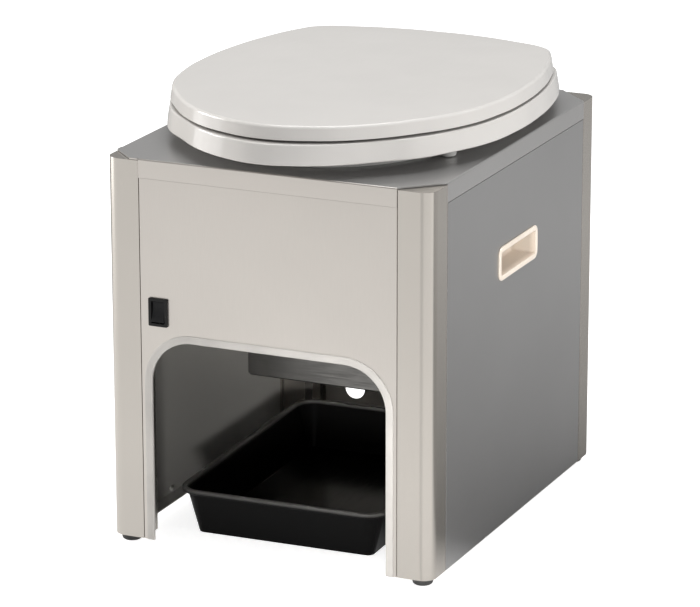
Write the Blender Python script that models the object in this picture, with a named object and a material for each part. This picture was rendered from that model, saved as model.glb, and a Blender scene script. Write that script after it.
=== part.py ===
"""Portable wrapping toilet: a sheet-metal box on four rubber feet that carries a seat and a lid,
a film cassette with its funnel, a heat-sealing unit under the funnel, and a loose catch tray.

Metres, +Z up. The origin is on the floor, under the middle of the whole toilet.
X points to the right of someone who faces the front, and the front faces -Y.
"""

import math

import bmesh
import bpy
from mathutils import Matrix, Vector

# Driving sizes of the box
BODY_WIDTH = 0.355
BODY_DEPTH = 0.443
BODY_HEIGHT = 0.400
FOOT_HEIGHT = 0.008
SEAT_OVERHANG = 0.0225
FIT_GAP = 0.0003
RUN_GAP = 0.0006
CUT_OVERRUN = 0.004
JOIN_OVERLAP = 0.001

# Corner posts, extruded angles with a rounded corner and a stepped lip behind each panel edge
POST_FACE = 0.037
POST_CORNER_RADIUS = 0.014
POST_WALL = 0.002
POST_LIP = 0.0035
POST_TOP_DROP = 0.0003
PANEL_GROOVE = 0.0008
POST_CAP_THICKNESS = 0.004
POST_CAP_CORNER = 0.006
ARC_STEPS = 5
MERGE_DISTANCE = 0.00001
SHARP_EDGE = math.radians(35)

# Panels
PANEL_THICKNESS = 0.0015
SIDE_FLANGE_WIDTH = 0.016
ARCH_SIDE_MARGIN = 0.049
ARCH_HALF_WIDTH = BODY_WIDTH / 2 - ARCH_SIDE_MARGIN
ARCH_HEADROOM = 0.1857
ARCH_HEIGHT = BODY_HEIGHT - ARCH_HEADROOM
ARCH_RADIUS = 0.045
TRIM_FACE = 0.008
TRIM_PROUD = 0.0011
TRIM_WEB = 0.0013
ARCH_STEPS = 7
CABLE_HOLE_RADIUS = 0.0155
CABLE_HOLE_MARGIN = 0.0775
CABLE_HOLE_X = CABLE_HOLE_MARGIN - BODY_WIDTH / 2
CABLE_HOLE_HEIGHT = 0.039

# Top plate
PLATE_THICKNESS = 0.0015
PLATE_FLANGE = 0.0197
PLATE_SEAM = 0.0005
PLATE_SHORT_CUT = 0.0275
BOWL_SIDE_MARGIN = 0.0655
BOWL_HALF_WIDTH = BODY_WIDTH / 2 - BOWL_SIDE_MARGIN
BOWL_END_MARGIN = 0.0855
BOWL_HALF_LENGTH = BODY_DEPTH / 2 - BOWL_END_MARGIN
BOWL_FORWARD = 0.036
BOWL_SETBACK = BODY_DEPTH / 2 - BOWL_FORWARD
PLATE_HOLE_MARGIN = 0.006
OVAL_STEPS = 48

# Rubber feet
FOOT_RADIUS = 0.0105
FOOT_TOP_RADIUS = 0.0095
FOOT_ROUNDING = 0.0028
FOOT_INSET = 0.0155
FOOT_STUD_RADIUS = 0.002
FOOT_STUD_REACH = 0.003
ROUND_STEPS = 20
HOLE_STEPS = 24
SMALL_STEPS = 12

# Studs and nuts on the inner side walls
WALL_STUD_RADIUS = 0.003
WALL_STUD_HEIGHT = 0.0028
WALL_STUD_Z = 0.005
WALL_STUD_MARGIN = 0.1325
WALL_STUD_Y = BODY_DEPTH / 2 - WALL_STUD_MARGIN

# Grip cups
GRIP_LENGTH = 0.1045
GRIP_HEIGHT = 0.0355
GRIP_RIM = 0.0055
GRIP_RADIUS = 0.0085
GRIP_PROUD = 0.0018
GRIP_DEPTH = 0.026
GRIP_WALL = 0.002
GRIP_DROP = 0.118
GRIP_CENTRE_Z = BODY_HEIGHT - GRIP_DROP

# Rocker switch
SWITCH_WIDTH = 0.0212
SWITCH_HEIGHT = 0.0293
SWITCH_MARGIN = 0.0575
SWITCH_X = SWITCH_MARGIN - BODY_WIDTH / 2
SWITCH_ABOVE_ARCH = 0.029
SWITCH_DROP = ARCH_HEADROOM - SWITCH_ABOVE_ARCH
SWITCH_Z = BODY_HEIGHT - SWITCH_DROP
SWITCH_RIM = 0.0032
SWITCH_RADIUS = 0.0025
SWITCH_PROUD = 0.0022
SWITCH_DEPTH = 0.018
SWITCH_WALL = 0.0014
ROCKER_GAP = 0.0004
ROCKER_PIVOT_DEPTH = 0.0042
ROCKER_PROUD = 0.0035
ROCKER_DIP = 0.0016
ROCKER_BACK = 0.0040
ROCKER_BACK_SHARE = 0.72
ROCKER_TILT = math.radians(8)

# Hinge posts on the top plate, which carry the seat and the lid on one line
HINGE_SIDE_MARGIN = 0.0795
HINGE_X = BODY_WIDTH / 2 - HINGE_SIDE_MARGIN
HINGE_SETBACK = 0.0055
HINGE_POST_WIDTH = 0.016
HINGE_BARREL_RADIUS = 0.005
HINGE_PIN_RADIUS = 0.0025
HINGE_KNUCKLE_WIDTH = 0.012
HINGE_FOOT_LENGTH = 0.026
HINGE_FOOT_HEIGHT = 0.006
HINGE_BOLT_SETBACK = 0.0195
HINGE_BOLT_RADIUS = 0.002
HINGE_BOLT_HEAD_RADIUS = 0.0042
HINGE_BOLT_HEAD = 0.0024
BOLT_HEAD_TOP_SHARE = 0.85
HINGE_NUT_HEIGHT = 0.0032
KNUCKLE_SEAT_DROP = 0.012
KNUCKLE_SEAT_INSET = 0.004
KNUCKLE_LID_RISE = 0.010
KNUCKLE_LID_CLEAR = 0.0015

# Seat ring, with sides that lean inwards up to an almost sharp top edge
SEAT_SIDE_OVERHANG = 0.0065
SEAT_HALF_WIDTH = BODY_WIDTH / 2 + SEAT_SIDE_OVERHANG
SEAT_BACK_SETBACK = 0.0165
SEAT_LENGTH = BODY_DEPTH + SEAT_OVERHANG - SEAT_BACK_SETBACK
SEAT_STANDOFF = 0.014
SEAT_THICKNESS = 0.0222
SEAT_WALL = 0.0035
SEAT_DRAFT = 0.0037
SEAT_FOOT_ROUND = 0.002
SEAT_TOP_ROUND = 0.0015
SEAT_INNER_ROUND = 0.010
# Half of the seat's edge: share of the half width, then share of the length from the front
SEAT_EDGE_SHARES = (
    (0.0, 0.0), (0.158, 0.011), (0.413, 0.062), (0.62, 0.138), (0.745, 0.189), (0.848, 0.263),
    (0.957, 0.372), (1.0, 0.499), (0.995, 0.641), (0.951, 0.777), (0.885, 0.88), (0.80, 0.952),
    (0.68, 0.988), (0.40, 1.0), (0.0, 1.0),
)
EDGE_STEPS = 2
# How far the middle of a quarter round lies from its corner, as a share of the radius
ROUND_MIDDLE_SHARE = 0.293

# Lid, a shell that is open below, with sides that lean inwards as the seat's do
LID_SIDE_SETBACK = 0.004
LID_HALF_WIDTH = SEAT_HALF_WIDTH - LID_SIDE_SETBACK
LID_FRONT_SETBACK = 0.010
LID_BACK_SETBACK = 0.0025
LID_LENGTH = BODY_DEPTH + SEAT_OVERHANG - LID_FRONT_SETBACK - LID_BACK_SETBACK
LID_GAP = 0.002
LID_THICKNESS = 0.0135
LID_CROWN = 0.0018
LID_WALL = 0.003
LID_DRAFT = 0.0023
LID_ROUND = 0.003
CROWN_MIDDLE_SHARE = 0.97
CROWN_HALFWAY_SHARE = 0.45
CROWN_HALFWAY_RISE_SHARE = 0.8
# Half of the lid's edge, as for the seat
LID_EDGE_SHARES = (
    (0.0, 0.0), (0.282, 0.026), (0.503, 0.077), (0.74, 0.179), (0.90, 0.285), (0.978, 0.406),
    (1.0, 0.521), (0.972, 0.675), (0.92, 0.777), (0.83, 0.884), (0.745, 0.938), (0.50, 0.976),
    (0.14, 1.0), (0.0, 1.0),
)

# Buffers under the seat and the lid
SEAT_BUFFER_RADIUS = 0.009
SEAT_BUFFER_STEM_RADIUS = 0.004
SEAT_BUFFER_SIDE_MARGIN = 0.048
SEAT_BUFFER_X = SEAT_HALF_WIDTH - SEAT_BUFFER_SIDE_MARGIN
SEAT_BUFFER_FRONT_SHARE = 0.195
SEAT_BUFFER_FRONT_Y = BODY_DEPTH * SEAT_BUFFER_FRONT_SHARE
SEAT_BUFFER_REAR_SHARE = 0.2483
SEAT_BUFFER_REAR_Y = BODY_DEPTH * SEAT_BUFFER_REAR_SHARE
LID_BUFFER_RADIUS = 0.006
LID_BUFFER_SIDE_MARGIN = 0.043
LID_BUFFER_X = LID_HALF_WIDTH - LID_BUFFER_SIDE_MARGIN
LID_BUFFER_FRONT_MARGIN = 0.1165
LID_BUFFER_FRONT_Y = BODY_DEPTH / 2 - LID_BUFFER_FRONT_MARGIN

# Funnel, clamp ring and film cassette
FUNNEL_FLANGE = 0.018
FUNNEL_WALL = 0.0025
FUNNEL_SHOULDER_DROP = 0.018
FUNNEL_WAIST_SIDE = 0.022
FUNNEL_WAIST_HALF_WIDTH = BOWL_HALF_WIDTH - FUNNEL_WAIST_SIDE
FUNNEL_WAIST_END = 0.056
FUNNEL_WAIST_HALF_LENGTH = BOWL_HALF_LENGTH - FUNNEL_WAIST_END
FUNNEL_WAIST_DROP_SHARE = 0.542
THROAT_SIDE = 0.022
THROAT_HALF_WIDTH = FUNNEL_WAIST_HALF_WIDTH - THROAT_SIDE
THROAT_HALF_LENGTH = 0.018
THROAT_DROP = 0.166
FUNNEL_WAIST_DROP = THROAT_DROP * FUNNEL_WAIST_DROP_SHARE
CLAMP_WIDTH = 0.014
CLAMP_INSET = 0.002
CLAMP_HEIGHT = 0.0055
CLAMP_ROUND = 0.0015
CASSETTE_INNER_MARGIN = 0.013
CASSETTE_WIDTH = 0.021
CASSETTE_HEIGHT = 0.034
CASSETTE_DROP = 0.022
CASSETTE_WALL = 0.0018
BRACKET_WIDTH = 0.016
BRACKET_THICKNESS = 0.0015
BRACKET_TAB = 0.010
BRACKET_HOOK = 0.012

# Heat-sealing unit, hung between the side panels under the funnel
UNIT_FORWARD = 0.050
UNIT_FRONT_SETBACK = BODY_DEPTH / 2 - UNIT_FORWARD
UNIT_SIDE_MARGIN = 0.074
UNIT_HALF_WIDTH = BODY_WIDTH / 2 - UNIT_SIDE_MARGIN
UNIT_DROP = 0.270
UNIT_BOTTOM = BODY_HEIGHT - UNIT_DROP
UNIT_HEIGHT = 0.094
UNIT_TOP = UNIT_BOTTOM + UNIT_HEIGHT
COVER_THICKNESS = 0.0012
COVER_LIP = 0.010
COVER_CHAMFER = 0.003
RAIL_DEPTH = 0.012
RAIL_HEIGHT = 0.020
RAIL_WALL = 0.002
SIDE_PLATE_THICKNESS = 0.003
SIDE_PLATE_RISE = 0.004
SIDE_PLATE_BOTTOM = UNIT_BOTTOM + SIDE_PLATE_RISE
SIDE_PLATE_INSET = 0.0005
BAR_DEPTH = 0.014
BAR_RISE = 0.018
BAR_BOTTOM = UNIT_BOTTOM + BAR_RISE
BAR_HEIGHT = 0.044
FIXED_BAR_BACKSET = 0.001
PAD_THICKNESS = 0.0027
PAD_HEIGHT = 0.012
PAD_SIDE_MARGIN = 0.0275
PAD_HALF_LENGTH = UNIT_HALF_WIDTH - PAD_SIDE_MARGIN
PAD_RISE = 0.016
SEAL_OPENING = 0.045
SEAL_CLOSED_GAP = 0.0005
ROD_RADIUS = 0.004
ROD_SIDE_MARGIN = 0.0175
ROD_X = UNIT_HALF_WIDTH - ROD_SIDE_MARGIN
GUIDE_ROD_RISE = 0.008
LEAD_SCREW_RISE = 0.034
SCREW_CLEARANCE = 0.0004
PULLEY_RADIUS = 0.010
PULLEY_WIDTH = 0.008
PULLEY_FLANGE_RADIUS = 0.0125
PULLEY_FLANGE = 0.001
PULLEY_STANDOFF = 0.0015
BELT_WIDTH = 0.006
BELT_THICKNESS = 0.0015
BELT_STEPS = 10
BELT_BOTTOM_STEPS = 3
REAR_PLATE_THICKNESS = 0.003
REAR_PLATE_GAP = 0.024
MOTOR_RADIUS = 0.018
MOTOR_LENGTH = 0.050
MOTOR_SHAFT_RADIUS = 0.0025
MOTOR_FACE_STEP = 0.003
MOTOR_FACE_RADIUS = 0.006
MOTOR_AXIS_RISE = 0.022
ROLLER_RADIUS = 0.007
ROLLER_DROP = 0.008
ROLLER_SIDE_MARGIN = 0.0155
ROLLER_HALF_LENGTH = UNIT_HALF_WIDTH - ROLLER_SIDE_MARGIN
ROLLER_AXLE_RADIUS = 0.003
ROLLER_EDGE = 0.001
LUG_HALF_DEPTH = 0.005
LUG_WIDTH = 0.006
LUG_DROP = 0.012
FEED_MOTOR_RADIUS = 0.012
FEED_MOTOR_LENGTH = 0.036

# Electric parts
CONTROL_DEPTH = 0.032
CONTROL_LENGTH = 0.120
CONTROL_HEIGHT = 0.080
CONTROL_Z = 0.100
CONTROL_BACK_MARGIN = 0.1615
CONTROL_Y = BODY_DEPTH / 2 - CONTROL_BACK_MARGIN
CONTROL_WALL = 0.002
CONTROL_POST_RADIUS = 0.004
CONTROL_POST_INSET = 0.014
BOARD_THICKNESS = 0.0016
BOARD_MARGIN = 0.005
BOARD_BACKSET = 0.006
CHIP_COUNT = 3
CHIP_LENGTH = 0.018
CHIP_WIDTH = 0.012
CHIP_HEIGHT = 0.004
CHIP_PITCH = 0.032
INLET_WIDTH = 0.028
INLET_HEIGHT = 0.048
INLET_FLANGE = 0.0015
INLET_RADIUS = 0.004
INLET_RIM = 0.004
INLET_CORNER_STEPS = 2
INLET_PIN_STEPS = 8
INLET_WALL = 0.002
INLET_DEPTH = 0.024
INLET_SIDE_MARGIN = 0.0655
INLET_X = BODY_WIDTH / 2 - INLET_SIDE_MARGIN
INLET_Z = 0.070
INLET_PIN_RADIUS = 0.002
INLET_PIN_LENGTH = 0.014
INLET_PIN_PITCH = 0.007

# Catch tray, which stands on the floor inside the arch
TRAY_X = -0.016
TRAY_FORWARD = 0.0125
TRAY_SETBACK = BODY_DEPTH / 2 - TRAY_FORWARD
TRAY_SIDE_ROOM = 0.031
TRAY_BOTTOM_WIDTH = (ARCH_HALF_WIDTH - TRAY_SIDE_ROOM) * 2
TRAY_END_ROOM = 0.074
TRAY_BOTTOM_LENGTH = BODY_DEPTH - TRAY_END_ROOM * 2
TRAY_FLARE = 0.0175
TRAY_ROLL = 0.006
ROLL_SLOPE_SHARE = 0.25
ROLL_CORNER_SHARE = 0.125
TRAY_HEIGHT = 0.051
TRAY_WALL = 0.0014
TRAY_BOTTOM_RADIUS = 0.008
TRAY_BOTTOM_ROUND = 0.0012
TRAY_TURN = math.radians(1.5)

# Levels and places that follow from the sizes above
INLET_PROUD = INLET_FLANGE + FIT_GAP
BODY_Y = (SEAT_OVERHANG - INLET_PROUD) / 2
FRONT_Y = BODY_Y - BODY_DEPTH / 2
BACK_Y = BODY_Y + BODY_DEPTH / 2
SIDE_X = BODY_WIDTH / 2
BASE_Z = FOOT_HEIGHT
TOP_Z = BASE_Z + BODY_HEIGHT
PLATE_UNDER_Z = TOP_Z - PLATE_THICKNESS
PANEL_TOP_Z = TOP_Z - PLATE_FLANGE - PLATE_SEAM
POST_TOP_Z = PLATE_UNDER_Z - POST_TOP_DROP
PANEL_HALF_X = SIDE_X - POST_FACE - PANEL_GROOVE
PANEL_HALF_Y = BODY_DEPTH / 2 - POST_FACE - PANEL_GROOVE
LIP_DEPTH = PANEL_THICKNESS + FIT_GAP
INNER_WALL_X = SIDE_X - PANEL_THICKNESS - FIT_GAP
SEAT_FRONT_Y = FRONT_Y - SEAT_OVERHANG
SEAT_BOTTOM_Z = TOP_Z + SEAT_STANDOFF
SEAT_TOP_Z = SEAT_BOTTOM_Z + SEAT_THICKNESS
LID_FRONT_Y = SEAT_FRONT_Y + LID_FRONT_SETBACK
LID_BOTTOM_Z = SEAT_TOP_Z + LID_GAP
LID_EDGE_Z = LID_BOTTOM_Z + LID_THICKNESS
LID_CEILING_Z = LID_EDGE_Z - LID_WALL
HINGE_Y = BACK_Y - HINGE_SETBACK
HINGE_Z = SEAT_TOP_Z + LID_GAP / 2
HINGE_BOLT_Y = BACK_Y - HINGE_BOLT_SETBACK
BOWL_Y = FRONT_Y + BOWL_SETBACK
PLATE_HOLE_HALF_WIDTH = BOWL_HALF_WIDTH + PLATE_HOLE_MARGIN
PLATE_HOLE_HALF_LENGTH = BOWL_HALF_LENGTH + PLATE_HOLE_MARGIN
FUNNEL_TOP_Z = TOP_Z + FIT_GAP + FUNNEL_WALL
CASSETTE_TOP_Z = PLATE_UNDER_Z - CASSETTE_DROP
CASSETTE_BOTTOM_Z = CASSETTE_TOP_Z - CASSETTE_HEIGHT
UNIT_FRONT_Y = FRONT_Y + UNIT_FRONT_SETBACK
UNIT_BOTTOM_Z = BASE_Z + UNIT_BOTTOM
UNIT_TOP_Z = BASE_Z + UNIT_TOP
RAIL_FRONT_Y = UNIT_FRONT_Y + COVER_THICKNESS + FIT_GAP
BAR_FRONT_Y = RAIL_FRONT_Y + RAIL_DEPTH + FIXED_BAR_BACKSET
BAR_BACK_Y = BAR_FRONT_Y + BAR_DEPTH
BAR_BOTTOM_Z = BASE_Z + BAR_BOTTOM
BAR_TOP_Z = BAR_BOTTOM_Z + BAR_HEIGHT
PAD_BOTTOM_Z = BAR_BOTTOM_Z + PAD_RISE
PAD_FRONT_Y = BAR_BACK_Y + FIT_GAP
PAD_FACE_Y = PAD_FRONT_Y + PAD_THICKNESS
HEATER_FACE_Y = PAD_FACE_Y + SEAL_OPENING
HEATER_BACK_Y = HEATER_FACE_Y + PAD_THICKNESS
MOVING_BAR_FRONT_Y = HEATER_BACK_Y + FIT_GAP
MOVING_BAR_BACK_Y = MOVING_BAR_FRONT_Y + BAR_DEPTH
SEAL_TRAVEL = SEAL_OPENING - SEAL_CLOSED_GAP
REAR_PLATE_Y = MOVING_BAR_BACK_Y + REAR_PLATE_GAP
REAR_PLATE_BACK_Y = REAR_PLATE_Y + REAR_PLATE_THICKNESS
REAR_RAIL_Y = REAR_PLATE_BACK_Y + FIT_GAP
SIDE_PLATE_OUTER_X = UNIT_HALF_WIDTH - SIDE_PLATE_INSET
SIDE_PLATE_INNER_X = SIDE_PLATE_OUTER_X - SIDE_PLATE_THICKNESS
SIDE_PLATE_FRONT_Y = RAIL_FRONT_Y + RAIL_DEPTH + FIT_GAP
SIDE_PLATE_BOTTOM_Z = BASE_Z + SIDE_PLATE_BOTTOM
GUIDE_ROD_Z = BAR_BOTTOM_Z + GUIDE_ROD_RISE
LEAD_SCREW_Z = BAR_BOTTOM_Z + LEAD_SCREW_RISE
MOTOR_AXIS_Z = BAR_BOTTOM_Z + MOTOR_AXIS_RISE
PULLEY_BACK_Y = REAR_PLATE_Y - PULLEY_STANDOFF
PULLEY_FRONT_Y = PULLEY_BACK_Y - PULLEY_WIDTH
THROAT_Y = PAD_FACE_Y + SEAL_OPENING / 2
ROLLER_Z = BAR_BOTTOM_Z - ROLLER_DROP
DRIVE_ROLLER_Y = PAD_FACE_Y - ROLLER_RADIUS
IDLER_ROLLER_Y = HEATER_FACE_Y + ROLLER_RADIUS
TRAY_Y = FRONT_Y + TRAY_SETBACK

STEEL_LIGHT = ((0.62, 0.585, 0.54), 0.34, 0.85)
STEEL_GREY = ((0.22, 0.22, 0.225), 0.42, 0.75)
STEEL_BARE = ((0.52, 0.52, 0.53), 0.30, 1.0)
EDGE_GREY = ((0.68, 0.65, 0.62), 0.45, 0.0)
IVORY = ((0.72, 0.70, 0.66), 0.18, 0.0)
CREAM = ((0.74, 0.66, 0.52), 0.35, 0.0)
BLACK_PLASTIC = ((0.012, 0.012, 0.012), 0.35, 0.0)
BLACK_RUBBER = ((0.015, 0.015, 0.015), 0.75, 0.0)
DARK_GREY = ((0.07, 0.07, 0.072), 0.5, 0.0)
WHITE_PLASTIC = ((0.62, 0.62, 0.60), 0.40, 0.0)
BRASS = ((0.55, 0.42, 0.18), 0.30, 1.0)
HEATER_TAPE = ((0.45, 0.27, 0.14), 0.55, 0.0)
PAD_RED = ((0.50, 0.10, 0.06), 0.65, 0.0)
BOARD_GREEN = ((0.02, 0.14, 0.06), 0.45, 0.0)

SIDES = ((-1, "left"), (1, "right"))
CORNERS = {(-1, -1): "front_left", (1, -1): "front_right", (-1, 1): "rear_left", (1, 1): "rear_right"}


def clear_scene():
    """Remove every object that the file starts with."""
    for item in list(bpy.data.objects):
        bpy.data.objects.remove(item)


def surface(name, finish):
    """Return a Principled material made from a colour, a roughness and a metallic value."""
    colour, roughness, metallic = finish
    material = bpy.data.materials.new(name + "_finish")
    material.use_nodes = True
    shader = material.node_tree.nodes["Principled BSDF"]
    shader.inputs["Base Color"].default_value = (*colour, 1.0)
    shader.inputs["Roughness"].default_value = roughness
    shader.inputs["Metallic"].default_value = metallic
    material.diffuse_color = (*colour, 1.0)
    return material


def put(name, mesh_data, finish, pivot=(0.0, 0.0, 0.0), smooth=True):
    """Turn a finished bmesh into a named object whose origin is at its pivot."""
    bmesh.ops.recalc_face_normals(mesh_data, faces=mesh_data.faces[:])
    bmesh.ops.translate(mesh_data, verts=mesh_data.verts[:], vec=-Vector(pivot))
    mesh = bpy.data.meshes.new(name)
    mesh_data.to_mesh(mesh)
    mesh_data.free()
    if smooth:
        mesh.shade_smooth()
        mesh.set_sharp_from_angle(angle=SHARP_EDGE)
    item = bpy.data.objects.new(name, mesh)
    item.location = pivot
    item.data.materials.append(surface(name, finish))
    bpy.context.scene.collection.objects.link(item)
    return item


def combine(target, tools, operation):
    """Apply a Boolean of each tool to the target, then remove the tools."""
    for tool in tools:
        modifier = target.modifiers.new(operation.title(), "BOOLEAN")
        modifier.operation = operation
        modifier.solver = "EXACT"
        modifier.object = tool
    bpy.context.view_layer.update()
    evaluated = target.evaluated_get(bpy.context.evaluated_depsgraph_get())
    mesh = bpy.data.meshes.new_from_object(evaluated)
    finish = target.data.materials[0]
    target.modifiers.clear()
    mesh.materials.clear()
    mesh.materials.append(finish)
    for face in mesh.polygons:
        face.material_index = 0
    target.data = mesh
    for tool in tools:
        bpy.data.objects.remove(tool)
    return target


def cut(target, *shapes):
    """Cut one or more bmesh shapes out of an object."""
    tools = [put(target.name + "_cutter", shape, STEEL_BARE, smooth=False) for shape in shapes]
    return combine(target, tools, "DIFFERENCE")


def join(target, *shapes):
    """Weld one or more bmesh shapes onto an object."""
    tools = [put(target.name + "_addition", shape, STEEL_BARE) for shape in shapes]
    return combine(target, tools, "UNION")


def along(axis, u, v, w):
    """Place a point of a section (u, v) at the distance w along an axis."""
    if axis == "x":
        return Vector((w, u, v))
    if axis == "y":
        return Vector((u, w, v))
    return Vector((u, v, w))


def extruded(outline, axis, low, high, mesh_data=None):
    """Extrude a closed outline along an axis, from one level to another."""
    mesh_data = mesh_data or bmesh.new()
    corners = [mesh_data.verts.new(along(axis, u, v, low)) for u, v in outline]
    face = mesh_data.faces.new(corners)
    result = bmesh.ops.extrude_face_region(mesh_data, geom=[face])
    moved = [item for item in result["geom"] if isinstance(item, bmesh.types.BMVert)]
    bmesh.ops.translate(mesh_data, verts=moved, vec=along(axis, 0.0, 0.0, high - low))
    return mesh_data


def block(low, high, mesh_data=None):
    """Add a box between two corners."""
    outline = ((low[0], low[1]), (high[0], low[1]), (high[0], high[1]), (low[0], high[1]))
    return extruded(outline, "z", low[2], high[2], mesh_data)


def lofted(rings, closed=False, mesh_data=None):
    """Skin a row of rings of equal count; the ends are capped unless the row is closed."""
    mesh_data = mesh_data or bmesh.new()
    loops = [[mesh_data.verts.new(point) for point in ring] for ring in rings]
    pairs = list(zip(loops, loops[1:]))
    if closed:
        pairs.append((loops[-1], loops[0]))
    for first, second in pairs:
        for place in range(len(first)):
            mesh_data.faces.new((first[place - 1], first[place], second[place], second[place - 1]))
    if not closed:
        mesh_data.faces.new(loops[0])
        mesh_data.faces.new(loops[-1])
    return mesh_data


def lathed(profile, centre, axis="z", steps=ROUND_STEPS, mesh_data=None):
    """Turn a profile of (radius, level) points about an axis; it starts and ends on the axis."""
    mesh_data = mesh_data or bmesh.new()
    across = {"x": Vector((0, 1, 0)), "y": Vector((1, 0, 0)), "z": Vector((1, 0, 0))}[axis]
    line = {"x": Vector((1, 0, 0)), "y": Vector((0, 1, 0)), "z": Vector((0, 0, 1))}[axis]
    centre = Vector(centre)
    points = [mesh_data.verts.new(centre + across * radius + line * level) for radius, level in profile]
    edges = [mesh_data.edges.new(pair) for pair in zip(points, points[1:])]
    bmesh.ops.spin(mesh_data, geom=points + edges, cent=centre, axis=line, angle=math.tau, steps=steps,
                   use_merge=True)
    bmesh.ops.remove_doubles(mesh_data, verts=mesh_data.verts[:], dist=MERGE_DISTANCE)
    return mesh_data


def rod(centre, axis, radius, low, high, steps=ROUND_STEPS, mesh_data=None):
    """Add a plain round bar between two levels along an axis."""
    return lathed(((0.0, low), (radius, low), (radius, high), (0.0, high)), centre, axis, steps, mesh_data)


def arc(centre_u, centre_v, radius, start, end, steps):
    """Return the points of an arc, with both ends, in degrees."""
    turns = [math.radians(start + (end - start) * step / steps) for step in range(steps + 1)]
    return [(centre_u + radius * math.cos(turn), centre_v + radius * math.sin(turn)) for turn in turns]


def rounded(half_u, half_v, radius, centre=(0.0, 0.0), steps=ARC_STEPS):
    """Return a rectangle with round corners."""
    points = []
    for sign_u, sign_v, start in ((1, 1, 0), (-1, 1, 90), (-1, -1, 180), (1, -1, 270)):
        middle_u = centre[0] + sign_u * (half_u - radius)
        middle_v = centre[1] + sign_v * (half_v - radius)
        points += arc(middle_u, middle_v, radius, start, start + 90, steps)
    return points


def oval(half_width, half_length, centre_y, power=1.0, steps=OVAL_STEPS):
    """Return an oval about X = 0; a power under 1 squares it off."""
    points = []
    for step in range(steps):
        turn = math.tau * step / steps
        across = math.copysign(abs(math.cos(turn)) ** power, math.cos(turn))
        ahead = math.copysign(abs(math.sin(turn)) ** power, math.sin(turn))
        points.append((half_width * across, centre_y + half_length * ahead))
    return points


def raised(outline, level):
    """Lift a flat outline to a level."""
    return [Vector((u, v, level)) for u, v in outline]


def shrunk(outline, distance):
    """Move each point of an outline inwards, square to the line between its neighbours."""
    moved = []
    count = len(outline)
    for place, (u, v) in enumerate(outline):
        before = outline[place - 1]
        after = outline[(place + 1) % count]
        along_u, along_v = after[0] - before[0], after[1] - before[1]
        length = math.hypot(along_u, along_v)
        moved.append((u - along_v / length * distance, v + along_u / length * distance))
    return moved


def smooth_edge(shares, half_width, length, front_y, steps=EDGE_STEPS):
    """Mirror half an edge, given in shares, and pass a smooth closed line through it."""
    half = [(share_x * half_width, front_y + share_y * length) for share_x, share_y in shares]
    knots = half + [(-x, y) for x, y in reversed(half[1:-1])]
    points = []
    count = len(knots)
    for place in range(count):
        p0, p1, p2, p3 = (Vector(knots[(place + shift) % count]) for shift in (-1, 0, 1, 2))
        for step in range(steps):
            t = step / steps
            bend = 2 * p1 + (p2 - p0) * t + (2 * p0 - 5 * p1 + 4 * p2 - p3) * t ** 2
            bend += (3 * p1 - p0 - 3 * p2 + p3) * t ** 3
            points.append(tuple(bend / 2))
    return points


def post_section():
    """Return a corner post's section with its end plates: a round corner, two lips, a filled corner."""
    inner = LIP_DEPTH + POST_WALL
    reach = POST_FACE + POST_LIP
    radius = POST_CORNER_RADIUS
    bevelled = POST_FACE - POST_CAP_CORNER
    section = [(reach, inner), (reach, LIP_DEPTH), (POST_FACE, LIP_DEPTH), (POST_FACE, 0.0)]
    section += arc(radius, radius, radius, 270, 180, ARC_STEPS)
    section += [(0.0, POST_FACE), (LIP_DEPTH, POST_FACE), (LIP_DEPTH, reach), (inner, reach)]
    section += [(inner, POST_FACE), (bevelled, POST_FACE), (POST_FACE, bevelled), (POST_FACE, inner)]
    return section


def place_at_corner(u, v, sign_x, sign_y):
    """Turn distances from a corner of the box into a place."""
    return (sign_x * (SIDE_X - u), BODY_Y + sign_y * (BODY_DEPTH / 2 - v))


def make_posts():
    """Make the four corner posts, hollow between a closed top and a drilled plate over the foot."""
    inner = LIP_DEPTH + POST_WALL
    far = POST_FACE + CUT_OVERRUN
    hollow = ((inner, inner), (far, inner), (far, far), (inner, far))
    for signs, corner in CORNERS.items():
        outline = [place_at_corner(u, v, *signs) for u, v in post_section()]
        post = put("corner_post_" + corner, extruded(outline, "z", BASE_Z, POST_TOP_Z), STEEL_LIGHT)
        room = [place_at_corner(u, v, *signs) for u, v in hollow]
        floor = BASE_Z + POST_CAP_THICKNESS
        x, y = place_at_corner(FOOT_INSET, FOOT_INSET, *signs)
        bore = rod((x, y, 0.0), "z", FOOT_STUD_RADIUS + FIT_GAP, BASE_Z - CUT_OVERRUN, floor + CUT_OVERRUN,
                   SMALL_STEPS)
        cut(post, extruded(room, "z", floor, POST_TOP_Z - POST_CAP_THICKNESS), bore)


def make_feet():
    """Make the rubber feet, each moulded round a stud that screws into its post."""
    top = BASE_Z - FIT_GAP
    stud = FOOT_STUD_RADIUS
    stud_top = BASE_Z + POST_CAP_THICKNESS + FOOT_STUD_REACH
    round_base = [(FOOT_RADIUS - FOOT_ROUNDING + u, v) for u, v in
                  arc(0.0, FOOT_ROUNDING, FOOT_ROUNDING, -90, 0, ARC_STEPS)]
    profile = [(0.0, 0.0), *round_base, (FOOT_TOP_RADIUS, top),
               (stud, top), (stud, stud_top), (0.0, stud_top)]
    for signs, corner in CORNERS.items():
        x, y = place_at_corner(FOOT_INSET, FOOT_INSET, *signs)
        put("foot_" + corner, lathed(profile, (x, y, 0.0)), BLACK_RUBBER)


def arch_outline(inset, bottom_z):
    """Return the arch opening, drawn in by an inset, from its bottom left to its bottom right."""
    half = ARCH_HALF_WIDTH + inset
    top = BASE_Z + ARCH_HEIGHT + inset
    radius = ARCH_RADIUS + inset
    points = [(-half, bottom_z)]
    points += arc(-half + radius, top - radius, radius, 180, 90, ARCH_STEPS)
    points += arc(half - radius, top - radius, radius, 90, 0, ARCH_STEPS)
    points += [(half, bottom_z)]
    return points


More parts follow.
